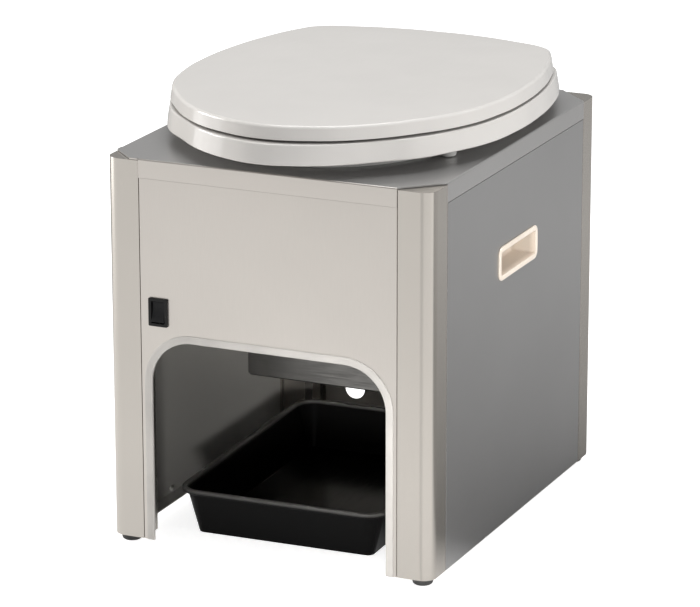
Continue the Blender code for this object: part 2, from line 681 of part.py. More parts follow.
def make_front_panel():
    """Make the front panel with its arch and its switch window."""
    outline = ((-PANEL_HALF_X, BASE_Z), (PANEL_HALF_X, BASE_Z), (PANEL_HALF_X, PANEL_TOP_Z),
               (-PANEL_HALF_X, PANEL_TOP_Z))
    panel = put("front_panel", extruded(outline, "y", FRONT_Y, FRONT_Y + PANEL_THICKNESS), STEEL_LIGHT)
    low = FRONT_Y - CUT_OVERRUN
    high = FRONT_Y + PANEL_THICKNESS + CUT_OVERRUN
    arch = extruded(arch_outline(TRIM_WEB + FIT_GAP, BASE_Z - CUT_OVERRUN), "y", low, high)
    window = rounded(switch_body_half(SWITCH_WIDTH) + FIT_GAP, switch_body_half(SWITCH_HEIGHT) + FIT_GAP,
                     SWITCH_RADIUS, (SWITCH_X, BASE_Z + SWITCH_Z))
    cut(panel, arch, extruded(window, "y", low, high))


def make_arch_trim():
    """Make the plastic edging, a channel that grips the edge of the arch."""
    outer = TRIM_FACE
    web = TRIM_WEB
    front = FRONT_Y - TRIM_PROUD
    back = FRONT_Y + PANEL_THICKNESS + TRIM_PROUD
    slot_front = FRONT_Y - FIT_GAP
    slot_back = FRONT_Y + PANEL_THICKNESS + FIT_GAP
    section = ((0.0, front), (outer, front), (outer, slot_front), (web, slot_front),
               (web, slot_back), (outer, slot_back), (outer, back), (0.0, back))
    lines = [arch_outline(inset, BASE_Z) for inset, level in section]
    rings = []
    for place in range(len(lines[0])):
        rings.append([Vector((line[place][0], level, line[place][1]))
                      for line, (inset, level) in zip(lines, section)])
    put("arch_edge_trim", lofted(rings), EDGE_GREY)


def make_side_panels():
    """Make the side panels, each with an inward flange along its foot, a grip window and two studs."""
    notch_low = BASE_Z - CUT_OVERRUN
    notch_high = BASE_Z + PANEL_THICKNESS + CUT_OVERRUN
    for sign, side in SIDES:
        outer = sign * SIDE_X
        inner = sign * (SIDE_X - PANEL_THICKNESS)
        edge = sign * (SIDE_X - SIDE_FLANGE_WIDTH)
        fold = BASE_Z + PANEL_THICKNESS
        section = ((outer, BASE_Z), (edge, BASE_Z), (edge, fold), (inner, fold), (inner, PANEL_TOP_Z),
                   (outer, PANEL_TOP_Z))
        shape = extruded(section, "y", BODY_Y - PANEL_HALF_Y, BODY_Y + PANEL_HALF_Y)
        panel = put(side + "_side_panel", shape, STEEL_GREY, smooth=False)
        cutters = []
        across = sorted((inner, edge - sign * CUT_OVERRUN))
        for end in (-1, 1):
            ends = sorted((BODY_Y + end * (PANEL_HALF_Y - POST_LIP),
                           BODY_Y + end * (PANEL_HALF_Y + CUT_OVERRUN)))
            cutters.append(block((across[0], ends[0], notch_low), (across[1], ends[1], notch_high)))
        window = rounded(GRIP_LENGTH / 2 - GRIP_RIM + GRIP_WALL + FIT_GAP,
                         GRIP_HEIGHT / 2 - GRIP_RIM + GRIP_WALL + FIT_GAP, GRIP_RADIUS,
                         (BODY_Y, BASE_Z + GRIP_CENTRE_Z))
        ends = sorted((outer + sign * CUT_OVERRUN, inner - sign * CUT_OVERRUN))
        cutters.append(extruded(window, "x", *ends))
        cut(panel, *cutters)
        join(panel, *[wall_stud(sign, end) for end in (-1, 1)])


def wall_stud(sign_x, sign_y):
    """Return a small welded stud, low on the inner face of a side panel."""
    root = sign_x * (SIDE_X - PANEL_THICKNESS / 2)
    tip = sign_x * (SIDE_X - PANEL_THICKNESS - WALL_STUD_HEIGHT)
    centre = (0.0, BODY_Y + sign_y * WALL_STUD_Y, BASE_Z + PANEL_THICKNESS + WALL_STUD_Z)
    return rod(centre, "x", WALL_STUD_RADIUS, min(root, tip), max(root, tip), SMALL_STEPS)


def make_back_panel():
    """Make the back panel with its cable hole and the window of the power inlet."""
    outline = ((-PANEL_HALF_X, BASE_Z), (PANEL_HALF_X, BASE_Z), (PANEL_HALF_X, PANEL_TOP_Z),
               (-PANEL_HALF_X, PANEL_TOP_Z))
    panel = put("back_panel", extruded(outline, "y", BACK_Y - PANEL_THICKNESS, BACK_Y), STEEL_LIGHT)
    low = BACK_Y - PANEL_THICKNESS - CUT_OVERRUN
    high = BACK_Y + CUT_OVERRUN
    hole = rod((CABLE_HOLE_X, 0.0, BASE_Z + CABLE_HOLE_HEIGHT), "y", CABLE_HOLE_RADIUS, low, high,
               HOLE_STEPS)
    window = rounded(INLET_WIDTH / 2 - INLET_RIM + INLET_WALL + FIT_GAP,
                     INLET_HEIGHT / 2 - INLET_RIM + INLET_WALL + FIT_GAP, INLET_RADIUS,
                     (INLET_X, BASE_Z + INLET_Z))
    cut(panel, hole, extruded(window, "y", low, high))


def make_top_plate():
    """Make the top plate: cut corners, a flange on each side, the bowl opening and bolt holes."""
    outline = []
    cuts = ((-1, -1, PLATE_SHORT_CUT, False), (1, -1, POST_FACE, True), (1, 1, POST_FACE, False),
            (-1, 1, POST_FACE, True))
    for sign_x, sign_y, reach, first in cuts:
        pair = [place_at_corner(0.0, reach, sign_x, sign_y), place_at_corner(reach, 0.0, sign_x, sign_y)]
        outline += reversed(pair) if first else pair
    plate = put("top_plate", extruded(outline, "z", PLATE_UNDER_Z, TOP_Z), STEEL_GREY)
    low = TOP_Z - PLATE_FLANGE
    high = PLATE_UNDER_Z + PLATE_THICKNESS / 2
    flanges = []
    for sign in (-1, 1):
        face = sorted((sign * SIDE_X, sign * (SIDE_X - PLATE_THICKNESS)))
        flanges.append(block((face[0], BODY_Y - PANEL_HALF_Y, low), (face[1], BODY_Y + PANEL_HALF_Y, high)))
        face = sorted((BODY_Y + sign * BODY_DEPTH / 2, BODY_Y + sign * (BODY_DEPTH / 2 - PLATE_THICKNESS)))
        flanges.append(block((-PANEL_HALF_X, face[0], low), (PANEL_HALF_X, face[1], high)))
    join(plate, *flanges, *cassette_brackets())
    hole = extruded(oval(PLATE_HOLE_HALF_WIDTH, PLATE_HOLE_HALF_LENGTH, BOWL_Y), "z",
                    PLATE_UNDER_Z - CUT_OVERRUN, TOP_Z + CUT_OVERRUN)
    drills = bmesh.new()
    for sign in (-1, 1):
        rod((sign * HINGE_X, HINGE_BOLT_Y, 0.0), "z", HINGE_BOLT_RADIUS + FIT_GAP,
            PLATE_UNDER_Z - CUT_OVERRUN, TOP_Z + CUT_OVERRUN, SMALL_STEPS, drills)
    cut(plate, hole, drills)


def cup_rings(half_u, half_v, rim, radius, wall, levels, centre, steps=ARC_STEPS):
    """Return the outlines of a rimmed cup from its inner floor, over its rim, to its outer floor."""
    proud, seat, inner_floor, outer_floor = levels
    inner_radius = max(radius - rim / 2, wall)
    inner = rounded(half_u - rim, half_v - rim, inner_radius, centre, steps)
    body = rounded(half_u - rim + wall, half_v - rim + wall, inner_radius + wall, centre, steps)
    outer = rounded(half_u, half_v, radius, centre, steps)
    return ((inner, inner_floor), (inner, proud), (outer, proud), (outer, seat),
            (body, seat), (body, outer_floor))


def cup_levels(axis, rings):
    """Stand each of a cup's outlines at its own level along an axis."""
    return [[along(axis, u, v, level) for u, v in ring] for ring, level in rings]


def make_grip_cups():
    """Make the recessed grips in the side panels."""
    for sign, side in SIDES:
        levels = (sign * (SIDE_X + GRIP_PROUD), sign * (SIDE_X + FIT_GAP),
                  sign * (SIDE_X - GRIP_DEPTH), sign * (SIDE_X - GRIP_DEPTH - GRIP_WALL))
        rings = cup_rings(GRIP_LENGTH / 2, GRIP_HEIGHT / 2, GRIP_RIM, GRIP_RADIUS, GRIP_WALL, levels,
                          (BODY_Y, BASE_Z + GRIP_CENTRE_Z))
        put(side + "_grip_cup", lofted(cup_levels("x", rings)), CREAM)


def switch_body_half(size):
    """Return half the size of the switch body that passes through the panel."""
    return size / 2 - SWITCH_RIM + SWITCH_WALL


def make_switch():
    """Make the switch frame and the rocker that tips in it."""
    centre = (SWITCH_X, BASE_Z + SWITCH_Z)
    proud = FRONT_Y - SWITCH_PROUD
    levels = (proud, FRONT_Y - FIT_GAP, FRONT_Y + SWITCH_DEPTH - SWITCH_WALL, FRONT_Y + SWITCH_DEPTH)
    rings = cup_rings(SWITCH_WIDTH / 2, SWITCH_HEIGHT / 2, SWITCH_RIM, SWITCH_RADIUS, SWITCH_WALL,
                      levels, centre)
    put("switch_frame", lofted(cup_levels("y", rings)), BLACK_PLASTIC)
    pivot = Vector((SWITCH_X, proud + ROCKER_PIVOT_DEPTH, BASE_Z + SWITCH_Z))
    half_height = SWITCH_HEIGHT / 2 - SWITCH_RIM - ROCKER_GAP * 2
    half_width = SWITCH_WIDTH / 2 - SWITCH_RIM - ROCKER_GAP
    back_height = half_height * ROCKER_BACK_SHARE
    outline = ((-ROCKER_PROUD, -half_height), (-ROCKER_DIP, 0.0), (-ROCKER_PROUD, half_height),
               (ROCKER_BACK, back_height), (ROCKER_BACK, -back_height))
    shape = extruded(outline, "x", -half_width, half_width)
    bmesh.ops.rotate(shape, verts=shape.verts[:], matrix=Matrix.Rotation(-ROCKER_TILT, 3, "X"))
    bmesh.ops.translate(shape, verts=shape.verts[:], vec=pivot)
    put("switch_rocker", shape, BLACK_PLASTIC, pivot)


def knuckle_outline(low_z, high_z, reach_y):
    """Return the side outline of a hinge knuckle: a round barrel and the arm that reaches forward."""
    barrel = arc(HINGE_Y, HINGE_Z, HINGE_BARREL_RADIUS, -90, 90, ARC_STEPS * 2)
    return [(reach_y, low_z), *barrel, (reach_y, high_z)]


def pin_bore(low, high, gap):
    """Return the cutter of the hinge pin's bore."""
    return rod((0.0, HINGE_Y, HINGE_Z), "x", HINGE_PIN_RADIUS + gap, low, high, SMALL_STEPS)


def make_hinge_posts():
    """Make the two posts on the plate, their pins, and the bolts that hold them."""
    half = HINGE_POST_WIDTH / 2
    for sign, side in SIDES:
        middle = sign * HINGE_X
        base = TOP_Z + FIT_GAP
        front = HINGE_Y + HINGE_BARREL_RADIUS - HINGE_FOOT_LENGTH
        shoulder = base + HINGE_FOOT_HEIGHT
        barrel = arc(HINGE_Y, HINGE_Z, HINGE_BARREL_RADIUS, 0, 180, ARC_STEPS * 2)
        outline = [(front, base), (HINGE_Y + HINGE_BARREL_RADIUS, base), *barrel,
                   (HINGE_Y - HINGE_BARREL_RADIUS, shoulder), (front, shoulder)]
        post = put(side + "_hinge_post", extruded(outline, "x", middle - half, middle + half), STEEL_BARE)
        drill = rod((middle, HINGE_BOLT_Y, 0.0), "z", HINGE_BOLT_RADIUS + FIT_GAP, base - CUT_OVERRUN,
                    shoulder + CUT_OVERRUN, SMALL_STEPS)
        bore = pin_bore(middle - half - CUT_OVERRUN, middle + half + CUT_OVERRUN, FIT_GAP)
        cut(post, drill, bore)
        reach = half + FIT_GAP + HINGE_KNUCKLE_WIDTH
        pin = rod((0.0, HINGE_Y, HINGE_Z), "x", HINGE_PIN_RADIUS, middle - reach, middle + reach,
                  SMALL_STEPS)
        put(side + "_hinge_pin", pin, STEEL_BARE)
        head = shoulder + FIT_GAP
        nut = PLATE_UNDER_Z - FIT_GAP
        profile = ((0.0, nut - HINGE_NUT_HEIGHT), (HINGE_BOLT_HEAD_RADIUS, nut - HINGE_NUT_HEIGHT),
                   (HINGE_BOLT_HEAD_RADIUS, nut), (HINGE_BOLT_RADIUS, nut), (HINGE_BOLT_RADIUS, head),
                   (HINGE_BOLT_HEAD_RADIUS, head),
                   (HINGE_BOLT_HEAD_RADIUS * BOLT_HEAD_TOP_SHARE, head + HINGE_BOLT_HEAD),
                   (0.0, head + HINGE_BOLT_HEAD))
        bolt = lathed(profile, (middle, HINGE_BOLT_Y, 0.0), "z", SMALL_STEPS)
        put(side + "_hinge_bolt", bolt, STEEL_BARE)


def seat_edge(inset):
    """Return the seat's outer edge, drawn in by an inset."""
    return shrunk(smooth_edge(SEAT_EDGE_SHARES, SEAT_HALF_WIDTH, SEAT_LENGTH, SEAT_FRONT_Y), inset)


def edge_y(outline, x):
    """Return how far back an outline reaches at a distance from the middle."""
    backs = []
    for place, (u, v) in enumerate(outline):
        before_u, before_v = outline[place - 1]
        if min(u, before_u) <= x <= max(u, before_u) and u != before_u:
            backs.append(v + (before_v - v) * (x - u) / (before_u - u))
    return max(backs)


def make_seat():
    """Make the seat, a ring of C-shaped section that is open below, with its two knuckles."""
    turns = [math.atan2((v - BOWL_Y) / BOWL_HALF_LENGTH, u / BOWL_HALF_WIDTH) for u, v in seat_edge(0.0)]

    def hole(margin):
        half_width = BOWL_HALF_WIDTH - margin
        half_length = BOWL_HALF_LENGTH - margin
        return [(half_width * math.cos(turn), BOWL_Y + half_length * math.sin(turn)) for turn in turns]

    low = SEAT_BOTTOM_Z
    high = SEAT_TOP_Z
    inner_round = SEAT_INNER_ROUND
    wall = SEAT_WALL
    foot_middle = SEAT_FOOT_ROUND * ROUND_MIDDLE_SHARE
    top_middle = SEAT_TOP_ROUND * ROUND_MIDDLE_SHARE
    rings = [raised(seat_edge(SEAT_FOOT_ROUND), low)]
    rings.append(raised(seat_edge(foot_middle), low + foot_middle))
    rings.append(raised(seat_edge(0.0), low + SEAT_FOOT_ROUND))
    rings.append(raised(seat_edge(SEAT_DRAFT), high - SEAT_TOP_ROUND))
    rings.append(raised(seat_edge(SEAT_DRAFT + top_middle), high - top_middle))
    rings.append(raised(seat_edge(SEAT_DRAFT + SEAT_TOP_ROUND), high))
    for step in range(ARC_STEPS - 1):
        turn = math.pi / 2 * step / (ARC_STEPS - 2)
        rings.append(raised(hole(-inner_round * (1 - math.sin(turn))),
                            high - inner_round * (1 - math.cos(turn))))
    rings.append(raised(hole(0.0), low))
    rings.append(raised(hole(-wall), low))
    rings.append(raised(hole(-wall), high - inner_round))
    rings.append(raised(hole(-wall - inner_round), high - wall))
    rings.append(raised(seat_edge(wall + SEAT_DRAFT), high - wall))
    rings.append(raised(seat_edge(wall), low))
    seat = put("seat_ring", lofted(rings, closed=True), IVORY, (0.0, HINGE_Y, HINGE_Z))
    arms = []
    bores = []
    for sign in (-1, 1):
        near = HINGE_X + HINGE_POST_WIDTH / 2 + FIT_GAP
        far = near + HINGE_KNUCKLE_WIDTH
        reach = edge_y(seat_edge(0.0), far) - wall
        outline = knuckle_outline(HINGE_Z - KNUCKLE_SEAT_DROP, SEAT_TOP_Z - KNUCKLE_SEAT_INSET, reach)
        ends = sorted((sign * near, sign * far))
        arms.append(extruded(outline, "x", *ends))
        bores.append(pin_bore(ends[0] - CUT_OVERRUN, ends[1] + CUT_OVERRUN, FIT_GAP))
    join(seat, *arms)
    cut(seat, *bores)


def lid_edge(inset):
    """Return the lid's outer edge, drawn in by an inset."""
    return shrunk(smooth_edge(LID_EDGE_SHARES, LID_HALF_WIDTH, LID_LENGTH, LID_FRONT_Y), inset)


def lid_crown(share):
    """Return the lid's crowned top at a share of the way from its edge to its middle."""
    middle = Vector((0.0, LID_FRONT_Y + LID_LENGTH / 2))
    rim = lid_edge(LID_DRAFT + LID_ROUND)
    return [tuple(middle + (Vector(point) - middle) * (1 - share)) for point in rim]


def make_lid():
    """Make the lid, a shallow shell that is open below, with its two knuckles."""
    rings = [raised(lid_crown(CROWN_MIDDLE_SHARE), LID_EDGE_Z + LID_CROWN),
             raised(lid_crown(CROWN_HALFWAY_SHARE), LID_EDGE_Z + LID_CROWN * CROWN_HALFWAY_RISE_SHARE)]
    for step in range(ARC_STEPS):
        turn = math.pi / 2 * step / (ARC_STEPS - 1)
        rings.append(raised(lid_edge(LID_DRAFT + LID_ROUND * (1 - math.sin(turn))),
                            LID_EDGE_Z - LID_ROUND * (1 - math.cos(turn))))
    rings.append(raised(lid_edge(0.0), LID_BOTTOM_Z))
    rings.append(raised(lid_edge(LID_WALL), LID_BOTTOM_Z))
    rings.append(raised(lid_edge(LID_WALL + LID_DRAFT), LID_CEILING_Z))
    rings.append(raised(lid_crown(CROWN_MIDDLE_SHARE), LID_CEILING_Z))
    lid = put("seat_lid", lofted(rings), IVORY, (0.0, HINGE_Y, HINGE_Z))
    arms = []
    bores = []
    for sign in (-1, 1):
        far = HINGE_X - HINGE_POST_WIDTH / 2 - FIT_GAP
        near = far - HINGE_KNUCKLE_WIDTH
        reach = edge_y(lid_edge(0.0), far) - LID_WALL
        outline = knuckle_outline(HINGE_Z + KNUCKLE_LID_CLEAR, HINGE_Z + KNUCKLE_LID_RISE, reach)
        ends = sorted((sign * near, sign * far))
        arms.append(extruded(outline, "x", *ends))
        bores.append(pin_bore(ends[0] - CUT_OVERRUN, ends[1] + CUT_OVERRUN, FIT_GAP))
    join(lid, *arms)
    cut(lid, *bores)


def make_buffers():
    """Make the four buffers under the seat and the two under the lid."""
    top = SEAT_TOP_Z - SEAT_WALL - FIT_GAP
    flat = SEAT_BOTTOM_Z - FIT_GAP
    base = TOP_Z + FIT_GAP
    profile = ((0.0, base), (SEAT_BUFFER_RADIUS, base), (SEAT_BUFFER_RADIUS, flat),
               (SEAT_BUFFER_STEM_RADIUS, flat), (SEAT_BUFFER_STEM_RADIUS, top), (0.0, top))
    reaches = {-1: SEAT_BUFFER_FRONT_Y, 1: SEAT_BUFFER_REAR_Y}
    for (sign_x, sign_y), corner in CORNERS.items():
        centre = (sign_x * SEAT_BUFFER_X, BODY_Y + sign_y * reaches[sign_y], 0.0)
        put("seat_buffer_" + corner, lathed(profile, centre), WHITE_PLASTIC)
    for sign, side in SIDES:
        centre = (sign * LID_BUFFER_X, BODY_Y - LID_BUFFER_FRONT_Y, 0.0)
        pad = rod(centre, "z", LID_BUFFER_RADIUS, SEAT_TOP_Z + FIT_GAP, LID_CEILING_Z - FIT_GAP)
        put(side + "_lid_buffer", pad, WHITE_PLASTIC)


def make_funnel():
    """Make the funnel that hangs in the plate and narrows to the throat over the seal."""
    wall = FUNNEL_WALL
    under = TOP_Z + FIT_GAP
    shoulder = FUNNEL_TOP_Z - FUNNEL_SHOULDER_DROP
    waist = FUNNEL_TOP_Z - FUNNEL_WAIST_DROP
    throat = FUNNEL_TOP_Z - THROAT_DROP
    waist_y = (BOWL_Y + THROAT_Y) / 2

    def ring(half_width, half_length, centre_y, margin, level):
        return raised(oval(half_width + margin, half_length + margin, centre_y), level)

    bowl = (BOWL_HALF_WIDTH, BOWL_HALF_LENGTH, BOWL_Y)
    middle = (FUNNEL_WAIST_HALF_WIDTH, FUNNEL_WAIST_HALF_LENGTH, waist_y)
    mouth = (THROAT_HALF_WIDTH, THROAT_HALF_LENGTH, THROAT_Y)
    rings = [
        ring(*bowl, FUNNEL_FLANGE, FUNNEL_TOP_Z), ring(*bowl, 0.0, FUNNEL_TOP_Z),
        ring(*bowl, -wall, shoulder),
        ring(*middle, 0.0, waist), ring(*mouth, 0.0, throat), ring(*mouth, wall, throat),
        ring(*middle, wall, waist), ring(*bowl, 0.0, shoulder), ring(*bowl, wall, under),
        ring(*bowl, FUNNEL_FLANGE, under),
    ]
    put("bowl_funnel", lofted(rings, closed=True), WHITE_PLASTIC)


def bowl_ring(margin, level):
    """Return an oval round the bowl opening, set out from its edge by a margin."""
    return raised(oval(BOWL_HALF_WIDTH + margin, BOWL_HALF_LENGTH + margin, BOWL_Y), level)


def make_clamp_ring():
    """Make the ring that clamps the film on the funnel's flange."""
    low = FUNNEL_TOP_Z + FIT_GAP
    high = low + CLAMP_HEIGHT
    near = CLAMP_INSET
    far = CLAMP_INSET + CLAMP_WIDTH
    edge = CLAMP_ROUND
    rings = [bowl_ring(near, low), bowl_ring(near, high - edge), bowl_ring(near + edge, high),
             bowl_ring(far - edge, high), bowl_ring(far, high - edge), bowl_ring(far, low)]
    put("film_clamp_ring", lofted(rings, closed=True), DARK_GREY)


def make_cassette():
    """Make the film cassette, a channel round the funnel that opens upwards."""
    near = FUNNEL_WALL + CASSETTE_INNER_MARGIN
    far = near + CASSETTE_WIDTH
    wall = CASSETTE_WALL
    low = CASSETTE_BOTTOM_Z
    high = CASSETTE_TOP_Z
    rings = [bowl_ring(far, low), bowl_ring(far, high), bowl_ring(far - wall, high),
             bowl_ring(far - wall, low + wall), bowl_ring(near + wall, low + wall),
             bowl_ring(near + wall, high),
             bowl_ring(near, high), bowl_ring(near, low)]
    put("film_cassette", lofted(rings, closed=True), WHITE_PLASTIC)


def cassette_brackets():
    """Return the four brackets, welded under the plate, that hold the cassette."""
    reach = FUNNEL_WALL + CASSETTE_INNER_MARGIN + CASSETTE_WIDTH + FIT_GAP
    top = PLATE_UNDER_Z + PLATE_THICKNESS / 2
    bottom = CASSETTE_BOTTOM_Z - FIT_GAP - BRACKET_THICKNESS
    brackets = []
    half = BRACKET_WIDTH / 2
    for sign in (-1, 1):
        outline = bracket_outline(0.0, BOWL_HALF_WIDTH + reach, sign, bottom, top)
        brackets.append(extruded(outline, "y", BOWL_Y - half, BOWL_Y + half))
        outline = bracket_outline(BOWL_Y, BOWL_HALF_LENGTH + reach, sign, bottom, top)
        brackets.append(extruded(outline, "x", -half, half))
    return brackets


def bracket_outline(centre, leg, sign, bottom, top):
    """Return the Z-shaped outline of a bracket at a distance from a centre line."""
    thick = BRACKET_THICKNESS
    outer = leg + thick
    points = ((leg - BRACKET_HOOK, bottom), (outer, bottom), (outer, top - thick),
              (outer + BRACKET_TAB, top - thick), (outer + BRACKET_TAB, top), (leg, top),
              (leg, bottom + thick), (leg - BRACKET_HOOK, bottom + thick))
    return [(centre + sign * u, v) for u, v in points]


def make_seal_rails():
    """Make the two channel rails that carry the sealing unit between the side panels."""
    top = UNIT_TOP_Z
    low = top - RAIL_HEIGHT
    wall = RAIL_WALL
    for name, front in (("seal_rail_front", RAIL_FRONT_Y), ("seal_rail_rear", REAR_RAIL_Y)):
        back = front + RAIL_DEPTH
        outline = ((front, low), (front, top), (back, top), (back, top - wall), (front + wall, top - wall),
                   (front + wall, low + wall), (back, low + wall), (back, low))
        put(name, extruded(outline, "x", -INNER_WALL_X, INNER_WALL_X), STEEL_BARE, smooth=False)


def make_seal_frame():
    """Make the side plates and the rear plate of the sealing unit."""
    rear = REAR_PLATE_BACK_Y
    for sign, side in SIDES:
        faces = sorted((sign * SIDE_PLATE_OUTER_X, sign * SIDE_PLATE_INNER_X))
        shape = block((faces[0], SIDE_PLATE_FRONT_Y, SIDE_PLATE_BOTTOM_Z), (faces[1], rear, UNIT_TOP_Z))
        plate = put("seal_side_plate_" + side, shape, STEEL_BARE, smooth=False)
        bore = rod((0.0, DRIVE_ROLLER_Y, ROLLER_Z), "x", ROLLER_AXLE_RADIUS + RUN_GAP / 2,
                   faces[0] - CUT_OVERRUN, faces[1] + CUT_OVERRUN, SMALL_STEPS)
        cut(plate, bore)
    half = SIDE_PLATE_INNER_X - FIT_GAP
    shape = block((-half, REAR_PLATE_Y, SIDE_PLATE_BOTTOM_Z), (half, rear, UNIT_TOP_Z))
    plate = put("seal_rear_plate", shape, STEEL_BARE, smooth=False)
    bores = rod_bores(REAR_PLATE_Y - CUT_OVERRUN, rear + CUT_OVERRUN, FIT_GAP)
    rod((0.0, 0.0, MOTOR_AXIS_Z), "y", MOTOR_SHAFT_RADIUS + RUN_GAP, REAR_PLATE_Y - CUT_OVERRUN,
        rear + CUT_OVERRUN, SMALL_STEPS, bores)
    cut(plate, bores)


def rod_bores(low, high, gap):
    """Return the bores of the two guide rods and the two lead screws."""
    bores = bmesh.new()
    for sign in (-1, 1):
        for level in (GUIDE_ROD_Z, LEAD_SCREW_Z):
            rod((sign * ROD_X, 0.0, level), "y", ROD_RADIUS + gap, low, high, SMALL_STEPS, bores)
    return bores


def make_seal_cover():
    """Make the folded sheet that covers the front of the sealing unit."""
    front = UNIT_FRONT_Y
    thick = COVER_THICKNESS
    low = UNIT_BOTTOM_Z
    top = UNIT_TOP_Z
    lip = COVER_LIP
    outline = ((front, low), (front + lip, low), (front + lip, low + thick), (front + thick, low + thick),
               (front + thick, top), (front, top))
    half = UNIT_HALF_WIDTH
    cover = put("seal_cover", extruded(outline, "x", -half, half), STEEL_LIGHT, smooth=False)
    corners = bmesh.new()
    for sign in (-1, 1):
        points = ((sign * (half + CUT_OVERRUN), low - CUT_OVERRUN),
                  (sign * (half + CUT_OVERRUN), low + COVER_CHAMFER + CUT_OVERRUN),
                  (sign * (half - COVER_CHAMFER - CUT_OVERRUN), low - CUT_OVERRUN))
        extruded(points, "y", front - CUT_OVERRUN, front + lip + CUT_OVERRUN, corners)
    cut(cover, corners)


def make_seal_bars():
    """Make the fixed bar with its pad, and the moving bar with its heater and its roller lugs."""
    fixed_half = SIDE_PLATE_INNER_X - FIT_GAP
    moving_half = SIDE_PLATE_INNER_X - RUN_GAP
    shape = block((-fixed_half, BAR_FRONT_Y, BAR_BOTTOM_Z), (fixed_half, BAR_BACK_Y, BAR_TOP_Z))
    fixed = put("fixed_seal_bar", shape, STEEL_BARE, smooth=False)
    cut(fixed, rod_bores(BAR_FRONT_Y - CUT_OVERRUN, BAR_BACK_Y + CUT_OVERRUN, FIT_GAP))
    pad_top = PAD_BOTTOM_Z + PAD_HEIGHT
    pad = block((-PAD_HALF_LENGTH, PAD_FRONT_Y, PAD_BOTTOM_Z), (PAD_HALF_LENGTH, PAD_FACE_Y, pad_top))
    put("seal_pad", pad, PAD_RED, smooth=False)
    shape = block((-moving_half, MOVING_BAR_FRONT_Y, BAR_BOTTOM_Z),
                  (moving_half, MOVING_BAR_BACK_Y, BAR_TOP_Z))
    moving = put("moving_seal_bar", shape, STEEL_BARE, smooth=False)
    lugs = []
    lug_front = max(IDLER_ROLLER_Y - LUG_HALF_DEPTH, MOVING_BAR_FRONT_Y)
    for sign in (-1, 1):
        faces = sorted((sign * moving_half, sign * (moving_half - LUG_WIDTH)))
        lugs.append(block((faces[0], lug_front, BAR_BOTTOM_Z - LUG_DROP),
                          (faces[1], IDLER_ROLLER_Y + LUG_HALF_DEPTH, BAR_BOTTOM_Z + JOIN_OVERLAP)))
    join(moving, *lugs)
    bores = rod_bores(MOVING_BAR_FRONT_Y - CUT_OVERRUN, MOVING_BAR_BACK_Y + CUT_OVERRUN, SCREW_CLEARANCE)
    rod((0.0, IDLER_ROLLER_Y, ROLLER_Z), "x", ROLLER_AXLE_RADIUS + RUN_GAP / 2, -moving_half - CUT_OVERRUN,
        moving_half + CUT_OVERRUN, SMALL_STEPS, bores)
    cut(moving, bores)
    heater = block((-PAD_HALF_LENGTH, HEATER_FACE_Y, PAD_BOTTOM_Z),
                   (PAD_HALF_LENGTH, HEATER_BACK_Y, pad_top))
    put("heater_strip", heater, HEATER_TAPE, smooth=False)


def make_rods_and_screws():
    """Make the guide rods, and the lead screws with their pulleys."""
    front = BAR_FRONT_Y + FIT_GAP
    back = REAR_PLATE_BACK_Y
    for sign, side in SIDES:
        guide = rod((sign * ROD_X, 0.0, GUIDE_ROD_Z), "y", ROD_RADIUS, front, back, SMALL_STEPS)
        put(side + "_guide_rod", guide, STEEL_BARE)
        centre = (sign * ROD_X, 0.0, LEAD_SCREW_Z)
        profile = [(0.0, front), (ROD_RADIUS, front), *pulley_profile(), (ROD_RADIUS, PULLEY_BACK_Y),
                   (ROD_RADIUS, back), (0.0, back)]
        screw = lathed(profile, centre, "y", ROUND_STEPS)
        put(side + "_lead_screw", screw, STEEL_BARE, (sign * ROD_X, PULLEY_FRONT_Y, LEAD_SCREW_Z))


def pulley_profile():
    """Return the rim of a flanged pulley, from its front face to its back face."""
    front = PULLEY_FRONT_Y
    back = PULLEY_BACK_Y
    return [(ROD_RADIUS, front), (PULLEY_FLANGE_RADIUS, front),
            (PULLEY_FLANGE_RADIUS, front + PULLEY_FLANGE),
            (PULLEY_RADIUS, front + PULLEY_FLANGE), (PULLEY_RADIUS, back - PULLEY_FLANGE),
            (PULLEY_FLANGE_RADIUS, back - PULLEY_FLANGE), (PULLEY_FLANGE_RADIUS, back)]


def belt_path(radius):
    """Return the line of the belt round the three pulleys, at a radius from their axes."""
    left = Vector((-ROD_X, LEAD_SCREW_Z))
    right = Vector((ROD_X, LEAD_SCREW_Z))
    middle = Vector((0.0, MOTOR_AXIS_Z))
    lean = math.degrees(math.atan2(LEAD_SCREW_Z - MOTOR_AXIS_Z, ROD_X))
    points = arc(*right, radius, -90 + lean, 90, BELT_STEPS)
    points += arc(*left, radius, 90, 270 - lean, BELT_STEPS)
    points += arc(*middle, radius, 270 - lean, 270 + lean, BELT_BOTTOM_STEPS)
    return points


